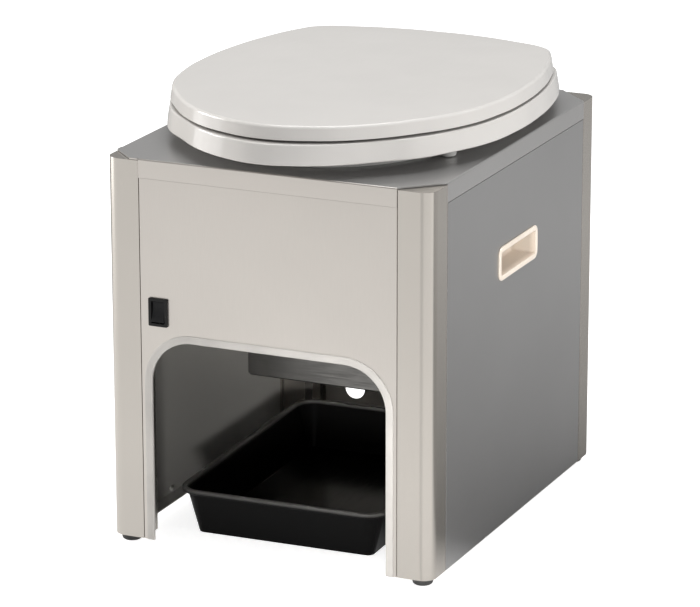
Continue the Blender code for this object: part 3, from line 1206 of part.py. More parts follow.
def make_drive():
    """Make the motor, its pulley and the belt that joins the three pulleys."""
    middle = (PULLEY_FRONT_Y + PULLEY_BACK_Y) / 2
    low = middle - BELT_WIDTH / 2
    high = middle + BELT_WIDTH / 2
    inner = belt_path(PULLEY_RADIUS + FIT_GAP)
    outer = belt_path(PULLEY_RADIUS + FIT_GAP + BELT_THICKNESS)
    rings = [[along("y", u, v, level) for u, v in ring]
             for ring, level in ((outer, low), (outer, high), (inner, high), (inner, low))]
    put("drive_belt", lofted(rings, closed=True), BLACK_RUBBER)
    shaft = MOTOR_SHAFT_RADIUS
    bore = shaft + FIT_GAP
    profile = [(bore, PULLEY_FRONT_Y), *pulley_profile()[1:], (bore, PULLEY_BACK_Y)]
    points = [along("y", radius, MOTOR_AXIS_Z, level) for radius, level in profile]
    pulley = turned_ring(points, (0.0, middle, MOTOR_AXIS_Z))
    put("motor_pulley", pulley, STEEL_BARE, (0.0, middle, MOTOR_AXIS_Z))
    face = REAR_PLATE_BACK_Y + FIT_GAP
    body = MOTOR_RADIUS
    end = face + MOTOR_LENGTH
    profile = ((0.0, PULLEY_FRONT_Y), (shaft, PULLEY_FRONT_Y), (shaft, face), (body, face), (body, end),
               (MOTOR_FACE_RADIUS, end), (MOTOR_FACE_RADIUS, end + MOTOR_FACE_STEP),
               (0.0, end + MOTOR_FACE_STEP))
    put("seal_motor", lathed(profile, (0.0, 0.0, MOTOR_AXIS_Z), "y"), DARK_GREY)


def turned_ring(points, centre):
    """Turn a closed section, given as places, about a Y axis through a centre."""
    mesh_data = bmesh.new()
    corners = [mesh_data.verts.new(point) for point in points]
    edges = [mesh_data.edges.new((corner, corners[place - 1])) for place, corner in enumerate(corners)]
    bmesh.ops.spin(mesh_data, geom=corners + edges, cent=Vector(centre), axis=Vector((0, 1, 0)),
                   angle=math.tau, steps=ROUND_STEPS, use_merge=True)
    return mesh_data


def make_rollers():
    """Make the two feed rollers below the bars, and the motor that turns one of them."""
    radius = ROLLER_RADIUS
    axle = ROLLER_AXLE_RADIUS
    edge = ROLLER_EDGE
    half = ROLLER_HALF_LENGTH
    idler_reach = SIDE_PLATE_INNER_X - RUN_GAP * 2
    rollers = {"feed_roller_drive": (DRIVE_ROLLER_Y, SIDE_PLATE_OUTER_X),
               "feed_roller_idler": (IDLER_ROLLER_Y, idler_reach)}
    for name, (y, reach) in rollers.items():
        profile = ((0.0, -reach), (axle, -reach), (axle, -half),
                   (radius - edge, -half), (radius, -half + edge),
                   (radius, half - edge), (radius - edge, half), (axle, half), (axle, reach), (0.0, reach))
        centre = (0.0, y, ROLLER_Z)
        put(name, lathed(profile, centre, "x"), BLACK_RUBBER, centre)
    low = SIDE_PLATE_OUTER_X + FIT_GAP
    motor = rod((0.0, DRIVE_ROLLER_Y, ROLLER_Z), "x", FEED_MOTOR_RADIUS, low, low + FEED_MOTOR_LENGTH)
    put("feed_motor", motor, DARK_GREY)


def make_control():
    """Make the control box on the inner side of the right panel, and the board inside it."""
    wall = CONTROL_WALL
    back = INNER_WALL_X
    face = back - CONTROL_DEPTH
    y = BODY_Y + CONTROL_Y
    z = BASE_Z + CONTROL_Z
    half_y = CONTROL_LENGTH / 2
    half_z = CONTROL_HEIGHT / 2
    outer = rounded(half_y, half_z, CONTROL_WALL * 2, (y, z))
    inner = rounded(half_y - wall, half_z - wall, CONTROL_WALL, (y, z))
    rings = [[along("x", u, v, level) for u, v in ring]
             for ring, level in ((inner, face + wall), (inner, back), (outer, back), (outer, face))]
    box = put("control_box", lofted(rings), DARK_GREY)
    board_back = back - BOARD_BACKSET
    board_face = board_back - BOARD_THICKNESS
    posts = []
    for sign_y in (-1, 1):
        for sign_z in (-1, 1):
            centre = (0.0, y + sign_y * (half_y - CONTROL_POST_INSET),
                      z + sign_z * (half_z - CONTROL_POST_INSET))
            posts.append(rod(centre, "x", CONTROL_POST_RADIUS, face + wall / 2, board_face - FIT_GAP,
                             SMALL_STEPS))
    join(box, *posts)
    reach_y = half_y - BOARD_MARGIN
    reach_z = half_z - BOARD_MARGIN
    shape = block((board_face, y - reach_y, z - reach_z), (board_back, y + reach_y, z + reach_z))
    board = put("control_board", shape, BOARD_GREEN, smooth=False)
    chips = []
    for place in range(CHIP_COUNT):
        middle = y + (place - (CHIP_COUNT - 1) / 2) * CHIP_PITCH
        chips.append(block((board_face - CHIP_HEIGHT, middle - CHIP_LENGTH / 2, z - CHIP_WIDTH / 2),
                           (board_face + BOARD_THICKNESS / 2, middle + CHIP_LENGTH / 2, z + CHIP_WIDTH / 2)))
    join(board, *chips)


def make_inlet():
    """Make the power inlet in the back panel, with its three contact pins."""
    centre = (INLET_X, BASE_Z + INLET_Z)
    floor = BACK_Y - INLET_DEPTH
    levels = (BACK_Y + FIT_GAP + INLET_FLANGE, BACK_Y + FIT_GAP, floor + INLET_WALL, floor)
    rings = cup_rings(INLET_WIDTH / 2, INLET_HEIGHT / 2, INLET_RIM, INLET_RADIUS, INLET_WALL, levels, centre,
                      INLET_CORNER_STEPS)
    inlet = put("power_inlet", lofted(cup_levels("y", rings)), BLACK_PLASTIC)
    pins = []
    for place in (-1, 0, 1):
        middle = (INLET_X, 0.0, BASE_Z + INLET_Z + place * INLET_PIN_PITCH)
        pins.append(rod(middle, "y", INLET_PIN_RADIUS, floor + INLET_WALL / 2,
                        floor + INLET_WALL + INLET_PIN_LENGTH, INLET_PIN_STEPS))
    join(inlet, *pins)


def make_tray():
    """Make the catch tray with its flared walls and its rolled rim."""

    def ring(margin, level, radius):
        outline = rounded(TRAY_BOTTOM_WIDTH / 2 + margin, TRAY_BOTTOM_LENGTH / 2 + margin, radius)
        return raised(outline, level)

    corner = TRAY_BOTTOM_RADIUS
    edge = TRAY_BOTTOM_ROUND
    wall = TRAY_WALL
    top = TRAY_HEIGHT
    under = top - TRAY_ROLL
    rim = TRAY_FLARE - TRAY_ROLL
    outer = corner + TRAY_FLARE
    slope = TRAY_ROLL * ROLL_SLOPE_SHARE
    chamfer = TRAY_ROLL * ROLL_CORNER_SHARE
    middle = TRAY_ROLL / 2
    rings = [
        ring(-edge, 0.0, corner - edge), ring(0.0, edge, corner), ring(rim, under, corner + rim),
        ring(TRAY_FLARE - slope, under + chamfer, outer - slope), ring(TRAY_FLARE, top - middle, outer),
        ring(TRAY_FLARE - slope, top - chamfer, outer - slope),
        ring(TRAY_FLARE - middle, top, outer - middle),
        ring(rim - wall / 2, top - slope, corner + rim - wall / 2),
        ring(rim - wall, under, corner + rim - wall), ring(-wall, edge + wall, corner - wall),
        ring(-edge - wall, wall, corner - edge - wall),
    ]
    shape = lofted(rings)
    place = Matrix.Translation((TRAY_X, TRAY_Y, 0.0)) @ Matrix.Rotation(TRAY_TURN, 4, "Z")
    bmesh.ops.transform(shape, matrix=place, verts=shape.verts[:])
    put("receiving_tray", shape, BLACK_PLASTIC, (TRAY_X, TRAY_Y, 0.0))


def main():
    """Build the whole toilet."""
    clear_scene()
    make_posts()
    make_feet()
    make_front_panel()
    make_arch_trim()
    make_side_panels()
    make_back_panel()
    make_top_plate()
    make_grip_cups()
    make_switch()
    make_hinge_posts()
    make_seat()
    make_lid()
    make_buffers()
    make_funnel()
    make_clamp_ring()
    make_cassette()
    make_seal_rails()
    make_seal_frame()
    make_seal_cover()
    make_seal_bars()
    make_rods_and_screws()
    make_drive()
    make_rollers()
    make_control()
    make_inlet()
    make_tray()


main()
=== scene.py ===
"""Looks of the portable wrapping toilet: finer shells, a finish for every piece, and the studio.

Metres, +Z up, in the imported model's own frame: X points to the right of someone who faces the
front, and the front faces -Y. Pieces are modelled where they stand and ride on the model's bodies.
"""

import logging
import math
from dataclasses import dataclass
from enum import Enum
from typing import Iterable, Optional, Sequence, Union

import bmesh
import bpy
from bmesh.types import BMEdge, BMesh, BMFace, BMVert
from mathutils import Matrix, Vector


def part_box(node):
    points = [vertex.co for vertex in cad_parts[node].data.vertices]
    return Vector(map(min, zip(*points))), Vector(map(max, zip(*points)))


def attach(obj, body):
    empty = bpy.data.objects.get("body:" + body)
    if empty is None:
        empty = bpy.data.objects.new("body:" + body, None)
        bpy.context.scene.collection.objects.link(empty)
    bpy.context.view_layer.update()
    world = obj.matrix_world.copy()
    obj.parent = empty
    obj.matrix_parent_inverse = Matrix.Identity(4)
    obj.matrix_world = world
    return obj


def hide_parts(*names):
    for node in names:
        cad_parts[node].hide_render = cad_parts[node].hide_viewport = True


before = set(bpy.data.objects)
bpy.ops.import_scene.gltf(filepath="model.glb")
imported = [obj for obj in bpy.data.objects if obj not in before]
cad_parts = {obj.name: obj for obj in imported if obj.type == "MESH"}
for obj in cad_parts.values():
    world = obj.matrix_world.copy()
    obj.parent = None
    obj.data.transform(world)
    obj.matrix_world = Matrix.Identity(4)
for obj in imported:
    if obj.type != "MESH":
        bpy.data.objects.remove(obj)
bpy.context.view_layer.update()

log = logging.getLogger("wrapping_toilet")

Colour = tuple[float, float, float]
Pair = tuple[float, float]
Oval = tuple[float, float, float, float]
Socket = bpy.types.NodeSocket
Source = Union[Socket, float, Sequence[float]]

# Vertices closer than MERGE are one; HAIR is the gap that keeps two touching pieces apart.
MERGE = 0.00001
HAIR = 0.0003
SHARP = math.radians(32)
STEEP = math.radians(60)
UP = Vector((0.0, 0.0, 1.0))

# A corner radius of this share of half a side makes a circle of a square.
NEARLY_ALL = 0.9999

# The bowl's opening, the place of the switch and the level of the grips, which several pieces share.
BOWL: Pair = (0.112, 0.136)
BOWL_Y = -0.02565
SWITCH_PLACE: Pair = (-0.120, 0.2513)
GRIP_LEVEL = 0.290


class Axis(Enum):
    """The directions of the model's frame."""

    X = (1.0, 0.0, 0.0)
    Y = (0.0, 1.0, 0.0)
    Z = (0.0, 0.0, 1.0)

    @property
    def line(self) -> Vector:
        """Return the direction as a vector."""
        return Vector(self.value)


class Side(Enum):
    """The left and the right of the toilet, as signs along X."""

    LEFT = -1
    RIGHT = 1

    @property
    def word(self) -> str:
        """Return the side's name in the way that the pieces carry it."""
        return self.name.lower()


class MaterialGraph:
    """A material's nodes, joined up through short calls."""

    def __init__(self, name: str, colour: Colour, roughness: float, metallic: float) -> None:
        """Start a material with one shader.

        Args:
            name: The material's name.
            colour: Linear base colour.
            roughness: Roughness where no pattern changes it.
            metallic: 0 for plastic and paint, 1 for bare metal.
        """
        self.material = bpy.data.materials.new(name)
        self.material.use_nodes = True
        self.tree = self.material.node_tree
        self.shader = self.tree.nodes["Principled BSDF"]
        self.shader.inputs["Base Color"].default_value = (*colour, 1.0)
        self.shader.inputs["Roughness"].default_value = roughness
        self.shader.inputs["Metallic"].default_value = metallic
        self.material.diffuse_color = (*colour, 1.0)
        self.place = self.tree.nodes.new("ShaderNodeTexCoord").outputs["Object"]

    def feed(self, source: Source, target: Socket) -> None:
        """Link another node's output to an input, or set a plain value on it.

        Args:
            source: The output or the value.
            target: The input.
        """
        if isinstance(source, Socket):
            self.tree.links.new(source, target)
        else:
            target.default_value = source

    def added(self, kind: str, inputs: dict[Union[str, int], Source], output: str, **settings: str
              ) -> Socket:
        """Add a node and feed it.

        Args:
            kind: The node's type, without the prefix that all shader nodes share.
            inputs: An output or a value for each input.
            output: The output to return.
            settings: The node's own settings.

        Returns:
            The output asked for.
        """
        node = self.tree.nodes.new("ShaderNode" + kind)
        for setting, value in settings.items():
            setattr(node, setting, value)
        for key, source in inputs.items():
            self.feed(source, node.inputs[key])
        return node.outputs[output]

    def drive(self, name: str, source: Source) -> None:
        """Feed one of the shader's own inputs."""
        self.feed(source, self.shader.inputs[name])

    def stretched(self, scale: Sequence[float]) -> Socket:
        """Return object coordinates stretched by a factor along each axis."""
        return self.added("Mapping", {"Vector": self.place, "Scale": scale}, "Vector")

    def noise(self, scale: float, detail: float = 2.0, place: Optional[Socket] = None) -> Socket:
        """Return a cloudy pattern of a given fineness."""
        inputs = {"Vector": place or self.place, "Scale": scale, "Detail": detail}
        return self.added("TexNoise", inputs, "Fac")

    def bands(self, scale: float, direction: str) -> Socket:
        """Return even bands across one axis."""
        inputs = {"Vector": self.place, "Scale": scale}
        return self.added("TexWave", inputs, "Fac", bands_direction=direction)

    def ranged(self, source: Socket, low: float, high: float, start: float = 0.35, end: float = 0.65
               ) -> Socket:
        """Spread the part of a pattern between start and end over low to high."""
        inputs = {"Value": source, "From Min": start, "From Max": end, "To Min": low, "To Max": high}
        return self.added("MapRange", inputs, "Result")

    def combined(self, first: Source, second: Source, operation: str) -> Socket:
        """Return a sum, product or other result of two patterns or values."""
        return self.added("Math", {0: first, 1: second}, "Value", operation=operation)

    def along(self, way: Sequence[float]) -> Socket:
        """Return how far along a direction a point lies."""
        return self.added("VectorMath", {0: self.place, 1: way}, "Value", operation="DOT_PRODUCT")

    def position(self, axis: Axis) -> Socket:
        """Return how far along an axis a point lies."""
        return self.added("SeparateXYZ", {"Vector": self.place}, axis.name)

    def tint(self, factor: Socket, first: Colour, second: Colour) -> None:
        """Colour the surface by a factor.

        Args:
            factor: The pattern that mixes the colours.
            first: The colour where the factor is 0.
            second: The colour where it is 1.
        """
        node = self.tree.nodes.new("ShaderNodeMix")
        node.data_type = "RGBA"
        colours = [socket for socket in node.inputs if socket.type == "RGBA"]
        colours[0].default_value = (*first, 1.0)
        colours[1].default_value = (*second, 1.0)
        self.feed(factor, node.inputs["Factor"])
        self.drive("Base Color", next(socket for socket in node.outputs if socket.type == "RGBA"))

    def overlay(self, factor: Socket, colour: Colour) -> None:
        """Lay a colour over the tinted surface.

        Args:
            factor: Where the colour lies: fully where it is 1.
            colour: The colour.
        """
        below = self.shader.inputs["Base Color"].links[0].from_socket
        self.tint(factor, colour, colour)
        mixer = self.shader.inputs["Base Color"].links[0].from_node
        self.feed(below, next(socket for socket in mixer.inputs if socket.type == "RGBA"))

    def relief(self, source: Socket, depth: float, strength: float) -> None:
        """Raise and sink the surface by a pattern, to a depth in metres and by a strength."""
        inputs = {"Height": source, "Strength": strength, "Distance": depth}
        self.drive("Normal", self.added("Bump", inputs, "Normal"))


def shade(colour: Colour, factor: float) -> Colour:
    """Return a colour made lighter or darker by a factor."""
    return tuple(min(part * factor, 1.0) for part in colour)


@dataclass(frozen=True)
class Finish:
    """What every finish has: a name, the record's material slot, a colour and a gloss."""

    name: str
    slot: str
    colour: Colour
    roughness: float = 0.4

    def graph(self) -> MaterialGraph:
        """Return the finish's nodes."""
        raise NotImplementedError

    def material(self) -> bpy.types.Material:
        """Return the finish's material, made when it is first asked for."""
        return bpy.data.materials.get(self.name) or self.graph().material

    def start(self, metallic: float = 0.0) -> MaterialGraph:
        """Return nodes that have only the plain colour and gloss."""
        return MaterialGraph(self.name, self.colour, self.roughness, metallic)

    def mottle(self, graph: MaterialGraph, pattern: Socket, dark: float, light: float) -> None:
        """Vary the colour between a darker and a lighter share of it."""
        graph.tint(pattern, shade(self.colour, dark), shade(self.colour, light))

    def scuff(self, graph: MaterialGraph, pattern: Socket, less: float, more: float,
              *reach: float) -> None:
        """Vary the gloss by a pattern, from so much less to so much more roughness."""
        low, high = self.roughness - less, self.roughness + more
        graph.drive("Roughness", graph.ranged(pattern, low, high, *reach))


@dataclass(frozen=True)
class CoatedSheet(Finish):
    """Satin coated sheet metal: a fine brushed grain under a thin coat, with slightly uneven gloss."""

    metallic: float = 0.55
    grain: Sequence[float] = (1.0, 1.0, 1.0)
    grain_scale: float = 2400.0
    speck_scale: float = 4000.0
    cloud_scale: float = 6.0
    depth: float = 0.00001

    def graph(self) -> MaterialGraph:
        """Return the finish's nodes.

        Returns:
            The nodes, with a cloudy tone, a grained gloss and a shallow relief.
        """
        graph = self.start(self.metallic)
        grain = graph.noise(self.grain_scale, 2.0, graph.stretched(self.grain))
        cloud = graph.noise(self.cloud_scale, 3.0)
        speck = graph.noise(self.speck_scale, 1.0)
        tone = graph.combined(graph.ranged(cloud, 0.0, 0.6), graph.ranged(grain, 0.0, 0.4), "ADD")
        self.mottle(graph, tone, 0.965, 1.025)
        self.scuff(graph, grain, 0.015, 0.02)
        graph.relief(graph.combined(grain, speck, "ADD"), self.depth, 0.1)
        return graph


@dataclass(frozen=True)
class FoldedCoat(CoatedSheet):
    """The coat of the top plate, darker as painted shade, which turns into the front panel's lighter coat
    on the front flange as painted light.
    """

    turn_start: float = 0.0005
    turn_end: float = 0.0014

    def graph(self) -> MaterialGraph:
        """Return the finish's nodes.

        Returns:
            The sheet's nodes, with the front panel's colour, gloss and metal on the flange, a painted
            light.
        """
        graph = super().graph()
        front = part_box("top_plate")[0][1]
        start, end = front + self.turn_start, front + self.turn_end
        flange = graph.ranged(graph.position(Axis.Y), 1.0, 0.0, start, end)
        # Painted light: the front-facing flange takes the front panel's lighter colour, as the lit face
        # of the same sheet.
        graph.overlay(flange, FRONT_COAT.colour)
        graph.drive("Roughness", graph.ranged(flange, self.roughness, FRONT_COAT.roughness, 0.0, 1.0))
        graph.drive("Metallic", graph.ranged(flange, self.metallic, FRONT_COAT.metallic, 0.0, 1.0))
        return graph


def beneath_side(graph: MaterialGraph, deep: float, shallow: float) -> Socket:
    """Return where a point lies beneath the outer faces of the side panels, at both sides of the box.

    Args:
        graph: The nodes to add to.
        deep: The depth from which the factor is 1.
        shallow: The depth up to which it is 0.

    Returns:
        The factor.
    """
    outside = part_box("right_side_panel")[1][0]
    across = graph.position(Axis.X)
    squared = graph.combined(across, across, "MULTIPLY")
    return graph.ranged(squared, 1.0, 0.0, (outside - deep) ** 2, (outside - shallow) ** 2)


@dataclass(frozen=True)
class LinedCoat(CoatedSheet):
    """The coat of the side panels, darker than the front's as painted shade, with duller bare zinc on
    their inner face.
    """

    zinc: Colour = (0.47, 0.46, 0.435)
    zinc_metallic: float = 0.1

    def graph(self) -> MaterialGraph:
        """Return the finish's nodes.

        Returns:
            The sheet's nodes, with the zinc's colour and metal inside.
        """
        graph = super().graph()
        inside = beneath_side(graph, 0.0008, 0.0004)
        graph.overlay(inside, self.zinc)
        graph.drive("Metallic", graph.ranged(inside, self.metallic, self.zinc_metallic, 0.0, 1.0))
        return graph


@dataclass(frozen=True)
class BareMetal(Finish):
    """Bare drawn or brushed metal, whose fine lines run along one axis."""

    grain: Sequence[float] = (0.04, 1.0, 1.0)
    line_scale: float = 1400.0
    stain_scale: float = 30.0

    def graph(self) -> MaterialGraph:
        """Return the finish's nodes.

        Returns:
            The nodes, with a stained tone and lines in gloss and relief.
        """
        graph = self.start(1.0)
        lines = graph.noise(self.line_scale, 4.0, graph.stretched(self.grain))
        stain = graph.noise(self.stain_scale, 3.0)
        self.mottle(graph, graph.ranged(stain, 0.0, 1.0), 0.9, 1.05)
        self.scuff(graph, lines, 0.08, 0.12)
        graph.relief(lines, 0.00004, 0.4)
        return graph


@dataclass(frozen=True)
class GlossShell(Finish):
    """Polished moulded plastic with a clear skin, a trace of waviness and fine handling marks."""

    coat: float = 0.25
    specular: float = 0.5
    coat_roughness: float = 0.06
    wave_scale: float = 14.0
    mark_scale: float = 500.0
    mark_stretch: Sequence[float] = (1.0, 0.08, 1.0)

    def graph(self) -> MaterialGraph:
        """Return the finish's nodes.

        Returns:
            The nodes, with a clear skin, a wavy relief and marks in the gloss.
        """
        graph = self.start()
        graph.drive("Specular IOR Level", self.specular)
        graph.drive("Coat Weight", self.coat)
        graph.drive("Coat Roughness", self.coat_roughness)
        wave = graph.noise(self.wave_scale, 2.0)
        marks = graph.noise(self.mark_scale, 4.0, graph.stretched(self.mark_stretch))
        self.mottle(graph, graph.ranged(wave, 0.0, 1.0), 0.985, 1.01)
        self.scuff(graph, marks, 0.03, 0.05, 0.45, 0.75)
        graph.relief(wave, 0.0002, 0.15)
        return graph


@dataclass(frozen=True)
class TrayPlastic(GlossShell):
    """The black plastic of the tray, whose rolled rim has a grey painted highlight."""

    painted_rim_highlight: Colour = (0.11, 0.108, 0.104)
    rim_start: float = 0.0042
    rim_end: float = 0.0012

    def graph(self) -> MaterialGraph:
        """Return the finish's nodes.

        Returns:
            The shell's nodes, with the painted highlight's colour towards the top.
        """
        graph = super().graph()
        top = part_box("receiving_tray")[1][2]
        start, end = top - self.rim_start, top - self.rim_end
        rim = graph.ranged(graph.position(Axis.Z), 0.0, 1.0, start, end)
        # Painted highlight: the rim is coloured grey where light would catch it.
        graph.overlay(rim, self.painted_rim_highlight)
        return graph


@dataclass(frozen=True)
class MouldedPlastic(Finish):
    """Moulded plastic with a fine spark-eroded grain."""

    grain: float = 1500.0
    depth: float = 0.00005
    specular: float = 0.5
    cloud_scale: float = 25.0

    def graph(self) -> MaterialGraph:
        """Return the finish's nodes.

        Returns:
            The nodes, with a cloudy tone and a grain in gloss and relief.
        """
        graph = self.start()
        graph.drive("Specular IOR Level", self.specular)
        pits = graph.noise(self.grain, 2.0)
        cloud = graph.noise(self.cloud_scale, 3.0)
        self.mottle(graph, graph.ranged(cloud, 0.0, 1.0), 0.93, 1.06)
        self.scuff(graph, pits, 0.06, 0.08)
        graph.relief(pits, self.depth, 0.5)
        return graph


@dataclass(frozen=True)
class CupPlastic(MouldedPlastic):
    """The plastic of the grip cups, with painted shade that makes the recess darker than the rim."""

    painted_recess_shade: float = 0.745

    def graph(self) -> MaterialGraph:
        """Return the finish's nodes."""
        graph = super().graph()
        # Painted shade: the recess beneath the panel's face is coloured darker.
        graph.overlay(beneath_side(graph, 0.006, 0.001), shade(self.colour, self.painted_recess_shade))
        return graph


@dataclass(frozen=True)
class DustyRubber(Finish):
    """Moulded rubber that is duller and greyer where it meets the floor."""

    pore_scale: float = 2200.0
    dust_scale: float = 700.0
    dust_top: float = 0.004
    dust: float = 2.5

    def graph(self) -> MaterialGraph:
        """Return the finish's nodes.

        Returns:
            The nodes, with dust low down and pores in gloss and relief.
        """
        graph = self.start()
        pores = graph.noise(self.pore_scale, 2.0)
        low = graph.ranged(graph.position(Axis.Z), 1.0, 0.0, 0.0, self.dust_top)
        dust = graph.combined(low, graph.ranged(graph.noise(self.dust_scale, 3.0), 0.0, 1.0), "MULTIPLY")
        graph.tint(dust, self.colour, shade(self.colour, self.dust))
        self.scuff(graph, pores, 0.1, 0.1)
        graph.relief(pores, 0.00006, 0.5)
        return graph


@dataclass(frozen=True)
class GlassClothTape(Finish):
    """Brown non-stick tape whose glass weave shows through."""

    pitch: float = 90.0

    def graph(self) -> MaterialGraph:
        """Return the finish's nodes.

        Returns:
            The nodes, with the weave in tone, gloss and relief.
        """
        graph = self.start()
        weave = graph.combined(graph.bands(self.pitch, "X"), graph.bands(self.pitch, "Z"), "MULTIPLY")
        self.mottle(graph, weave, 0.75, 1.2)
        self.scuff(graph, weave, 0.0, 0.15, 0.0, 1.0)
        graph.relief(weave, 0.0001, 0.5)
        return graph


@dataclass(frozen=True)
class SolderMask(Finish):
    """Green lacquer over copper tracks on a circuit board."""

    level_pitch: float = 60.0
    upright_pitch: float = 45.0

    def graph(self) -> MaterialGraph:
        """Return the finish's nodes.

        Returns:
            The nodes, with the tracks lighter and raised.
        """
        graph = self.start()
        level, upright = graph.bands(self.level_pitch, "Y"), graph.bands(self.upright_pitch, "Z")
        edges = graph.ranged(graph.combined(level, upright, "MAXIMUM"), 0.0, 1.0, 0.86, 0.9)
        graph.tint(edges, self.colour, shade(self.colour, 1.8))
        self.scuff(graph, graph.noise(300.0), 0.1, 0.1)
        graph.relief(edges, 0.00004, 0.5)
        return graph


PIECES: list[bpy.types.Object] = []

LEVEL_GRAIN = (0.03, 1.0, 1.0)
UPRIGHT_GRAIN = (1.0, 1.0, 0.03)
NO_GRAIN = (1.0, 1.0, 1.0)

FRONT_COAT = CoatedSheet("front_coat", "light_paint", (0.66, 0.62, 0.575), 0.30, 0.88, UPRIGHT_GRAIN)
BACK_COAT = CoatedSheet("back_coat", "light_paint", (0.62, 0.59, 0.55), 0.42, 0.25, UPRIGHT_GRAIN)
POST_COAT = CoatedSheet("post_coat", "light_paint", (0.57, 0.535, 0.49), 0.20, 0.88, UPRIGHT_GRAIN)
# Painted shade: SIDE_COAT and TOP_COAT are the same coated sheet as FRONT_COAT, given darker, greyer
# colours for faces that get less light; the grey_paint slot holds that shaded copy.
SIDE_COAT = LinedCoat("side_coat", "grey_paint", (0.52, 0.516, 0.514), 0.34, 0.88, UPRIGHT_GRAIN)
TOP_COAT = FoldedCoat("top_coat", "grey_paint", (0.46, 0.455, 0.45), 0.30, 0.6, LEVEL_GRAIN)
COVER_STEEL = BareMetal("cover_steel", "plain_steel", (0.26, 0.254, 0.242), 0.40, LEVEL_GRAIN)
STEEL = BareMetal("drawn_steel", "plain_steel", (0.55, 0.55, 0.55), 0.30, NO_GRAIN)
RAIL_STEEL = BareMetal("rail_steel", "plain_steel", (0.50, 0.50, 0.49), 0.36, LEVEL_GRAIN)
ALUMINIUM = BareMetal("machined_aluminium", "bare_aluminium", (0.62, 0.62, 0.63), 0.28, LEVEL_GRAIN)
IVORY = GlossShell("ivory_shell", "ivory_plastic", (0.715, 0.695, 0.67), 0.13)
BLACK_GLOSS = TrayPlastic("black_tray", "black_gloss", (0.004, 0.004, 0.004), 0.19, 0.0, 0.07)
CREAM = CupPlastic("cream_grip", "cream_plastic", (0.95, 0.845, 0.735), 0.34, 1200.0)
EDGE_TRIM = MouldedPlastic("pale_edging", "edge_plastic", (0.54, 0.52, 0.495), 0.40, 1600.0)
SWITCH_BLACK = MouldedPlastic("switch_black", "black_satin", (0.009, 0.009, 0.009), 0.32, 2500.0, 0.00003,
                              0.25)
ROCKER_BLACK = MouldedPlastic("rocker_black", "black_gloss", (0.013, 0.013, 0.014), 0.42, 3000.0, 0.00002,
                              0.2)
DARK_CASE = MouldedPlastic("dark_case", "dark_plastic", (0.055, 0.055, 0.058), 0.50, 900.0, 0.0001)
DARK_PAINT = MouldedPlastic("motor_paint", "dark_paint", (0.04, 0.04, 0.045), 0.42, 700.0, 0.0001)
WHITE_MOULD = MouldedPlastic("white_mould", "white_plastic", (0.62, 0.62, 0.60), 0.38, 1100.0)
RUBBER = DustyRubber("black_rubber", "black_rubber", (0.009, 0.009, 0.009), 0.7)
RED_SILICONE = MouldedPlastic("red_silicone", "red_silicone", (0.36, 0.07, 0.045), 0.62, 600.0, 0.0001)
HEATER_TAPE = GlassClothTape("heater_tape", "heater_tape", (0.36, 0.22, 0.11), 0.42)
BOARD_GREEN = SolderMask("green_board", "green_board", (0.02, 0.13, 0.055), 0.35)


def polygon(bm: BMesh, corners: Iterable[Sequence[float]]) -> BMFace:
    """Add a flat face through a few corners."""
    return bm.faces.new([bm.verts.new(corner) for corner in corners])


def only(items: Iterable[object], kind: type) -> list:
    """Return the items of one kind from what an operator gives back."""
    return [item for item in items if isinstance(item, kind)]


def bevel(bm: BMesh, parts: Iterable[Union[BMVert, BMEdge]], radius: float, segments: int,
          affect: str) -> None:
    """Round the corners of an outline or the edges of a solid.

    Args:
        bm: What they belong to.
        parts: The vertices or edges; those that have gone by now are passed over.
        radius: The radius.
        segments: How many faces make up the rounding.
        affect: Whether the parts are vertices or edges, in the operator's own words.
    """
    geom = [part for part in parts if part.is_valid]
    bmesh.ops.bevel(bm, geom=geom, offset=radius, offset_type="OFFSET", segments=segments,
                    profile=0.5, affect=affect, material=-1, clamp_overlap=affect == "EDGES")


def round_vertices(bm: BMesh, verts: Iterable[BMVert], radius: float, segments: int) -> None:
    """Round the corners of a flat outline."""
    bevel(bm, verts, radius, segments, "VERTICES")


def round_edges(bm: BMesh, edges: Iterable[BMEdge], radius: float, segments: int) -> None:
    """Round edges of a solid."""
    bevel(bm, edges, radius, segments, "EDGES")


def sharp_edges(bm: BMesh, angle: float = SHARP) -> list[BMEdge]:
    """Return the edges whose faces meet at more than an angle."""
    bm.normal_update()
    pairs = [edge for edge in bm.edges if len(edge.link_faces) == 2]
    return [edge for edge in pairs if edge.calc_face_angle(0.0) > angle]


def open_edges(bm: BMesh) -> list[BMEdge]:
    """Return the edges that have only one face."""
    return [edge for edge in bm.edges if len(edge.link_faces) == 1]


def ease_sharp(bm: BMesh, radius: float, segments: int = 2, angle: float = SHARP) -> None:
    """Round every edge whose faces meet at more than an angle."""
    round_edges(bm, sharp_edges(bm, angle), radius, segments)


def lies_at(part: Union[BMEdge, BMFace], level: float, axis: int = 2) -> bool:
    """Return whether an edge or a face lies at one level along an axis."""
    return all(abs(vert.co[axis] - level) < MERGE for vert in part.verts)


def rim_edges(bm: BMesh, level: float) -> list[BMEdge]:
    """Return the sharp edges that lie at a level."""
    return [edge for edge in sharp_edges(bm) if lies_at(edge, level)]


def push(bm: BMesh, faces: Sequence[BMFace], way: Vector) -> list[BMFace]:
    """Extrude faces.

    A flat drawing that stands alone keeps its faces as the near end. Faces of a solid are left open.

    Args:
        bm: What the faces belong to.
        faces: The faces.
        way: How far and where they go.

    Returns:
        The faces at the far end.
    """
    region = set(faces)
    around = {face for start in region for edge in start.edges for face in edge.link_faces}
    result = bmesh.ops.extrude_face_region(bm, geom=list(region))["geom"]
    bmesh.ops.translate(bm, verts=only(result, BMVert), vec=way)
    if around - region:
        bmesh.ops.delete(bm, geom=list(region), context="FACES")
    return only(result, BMFace)


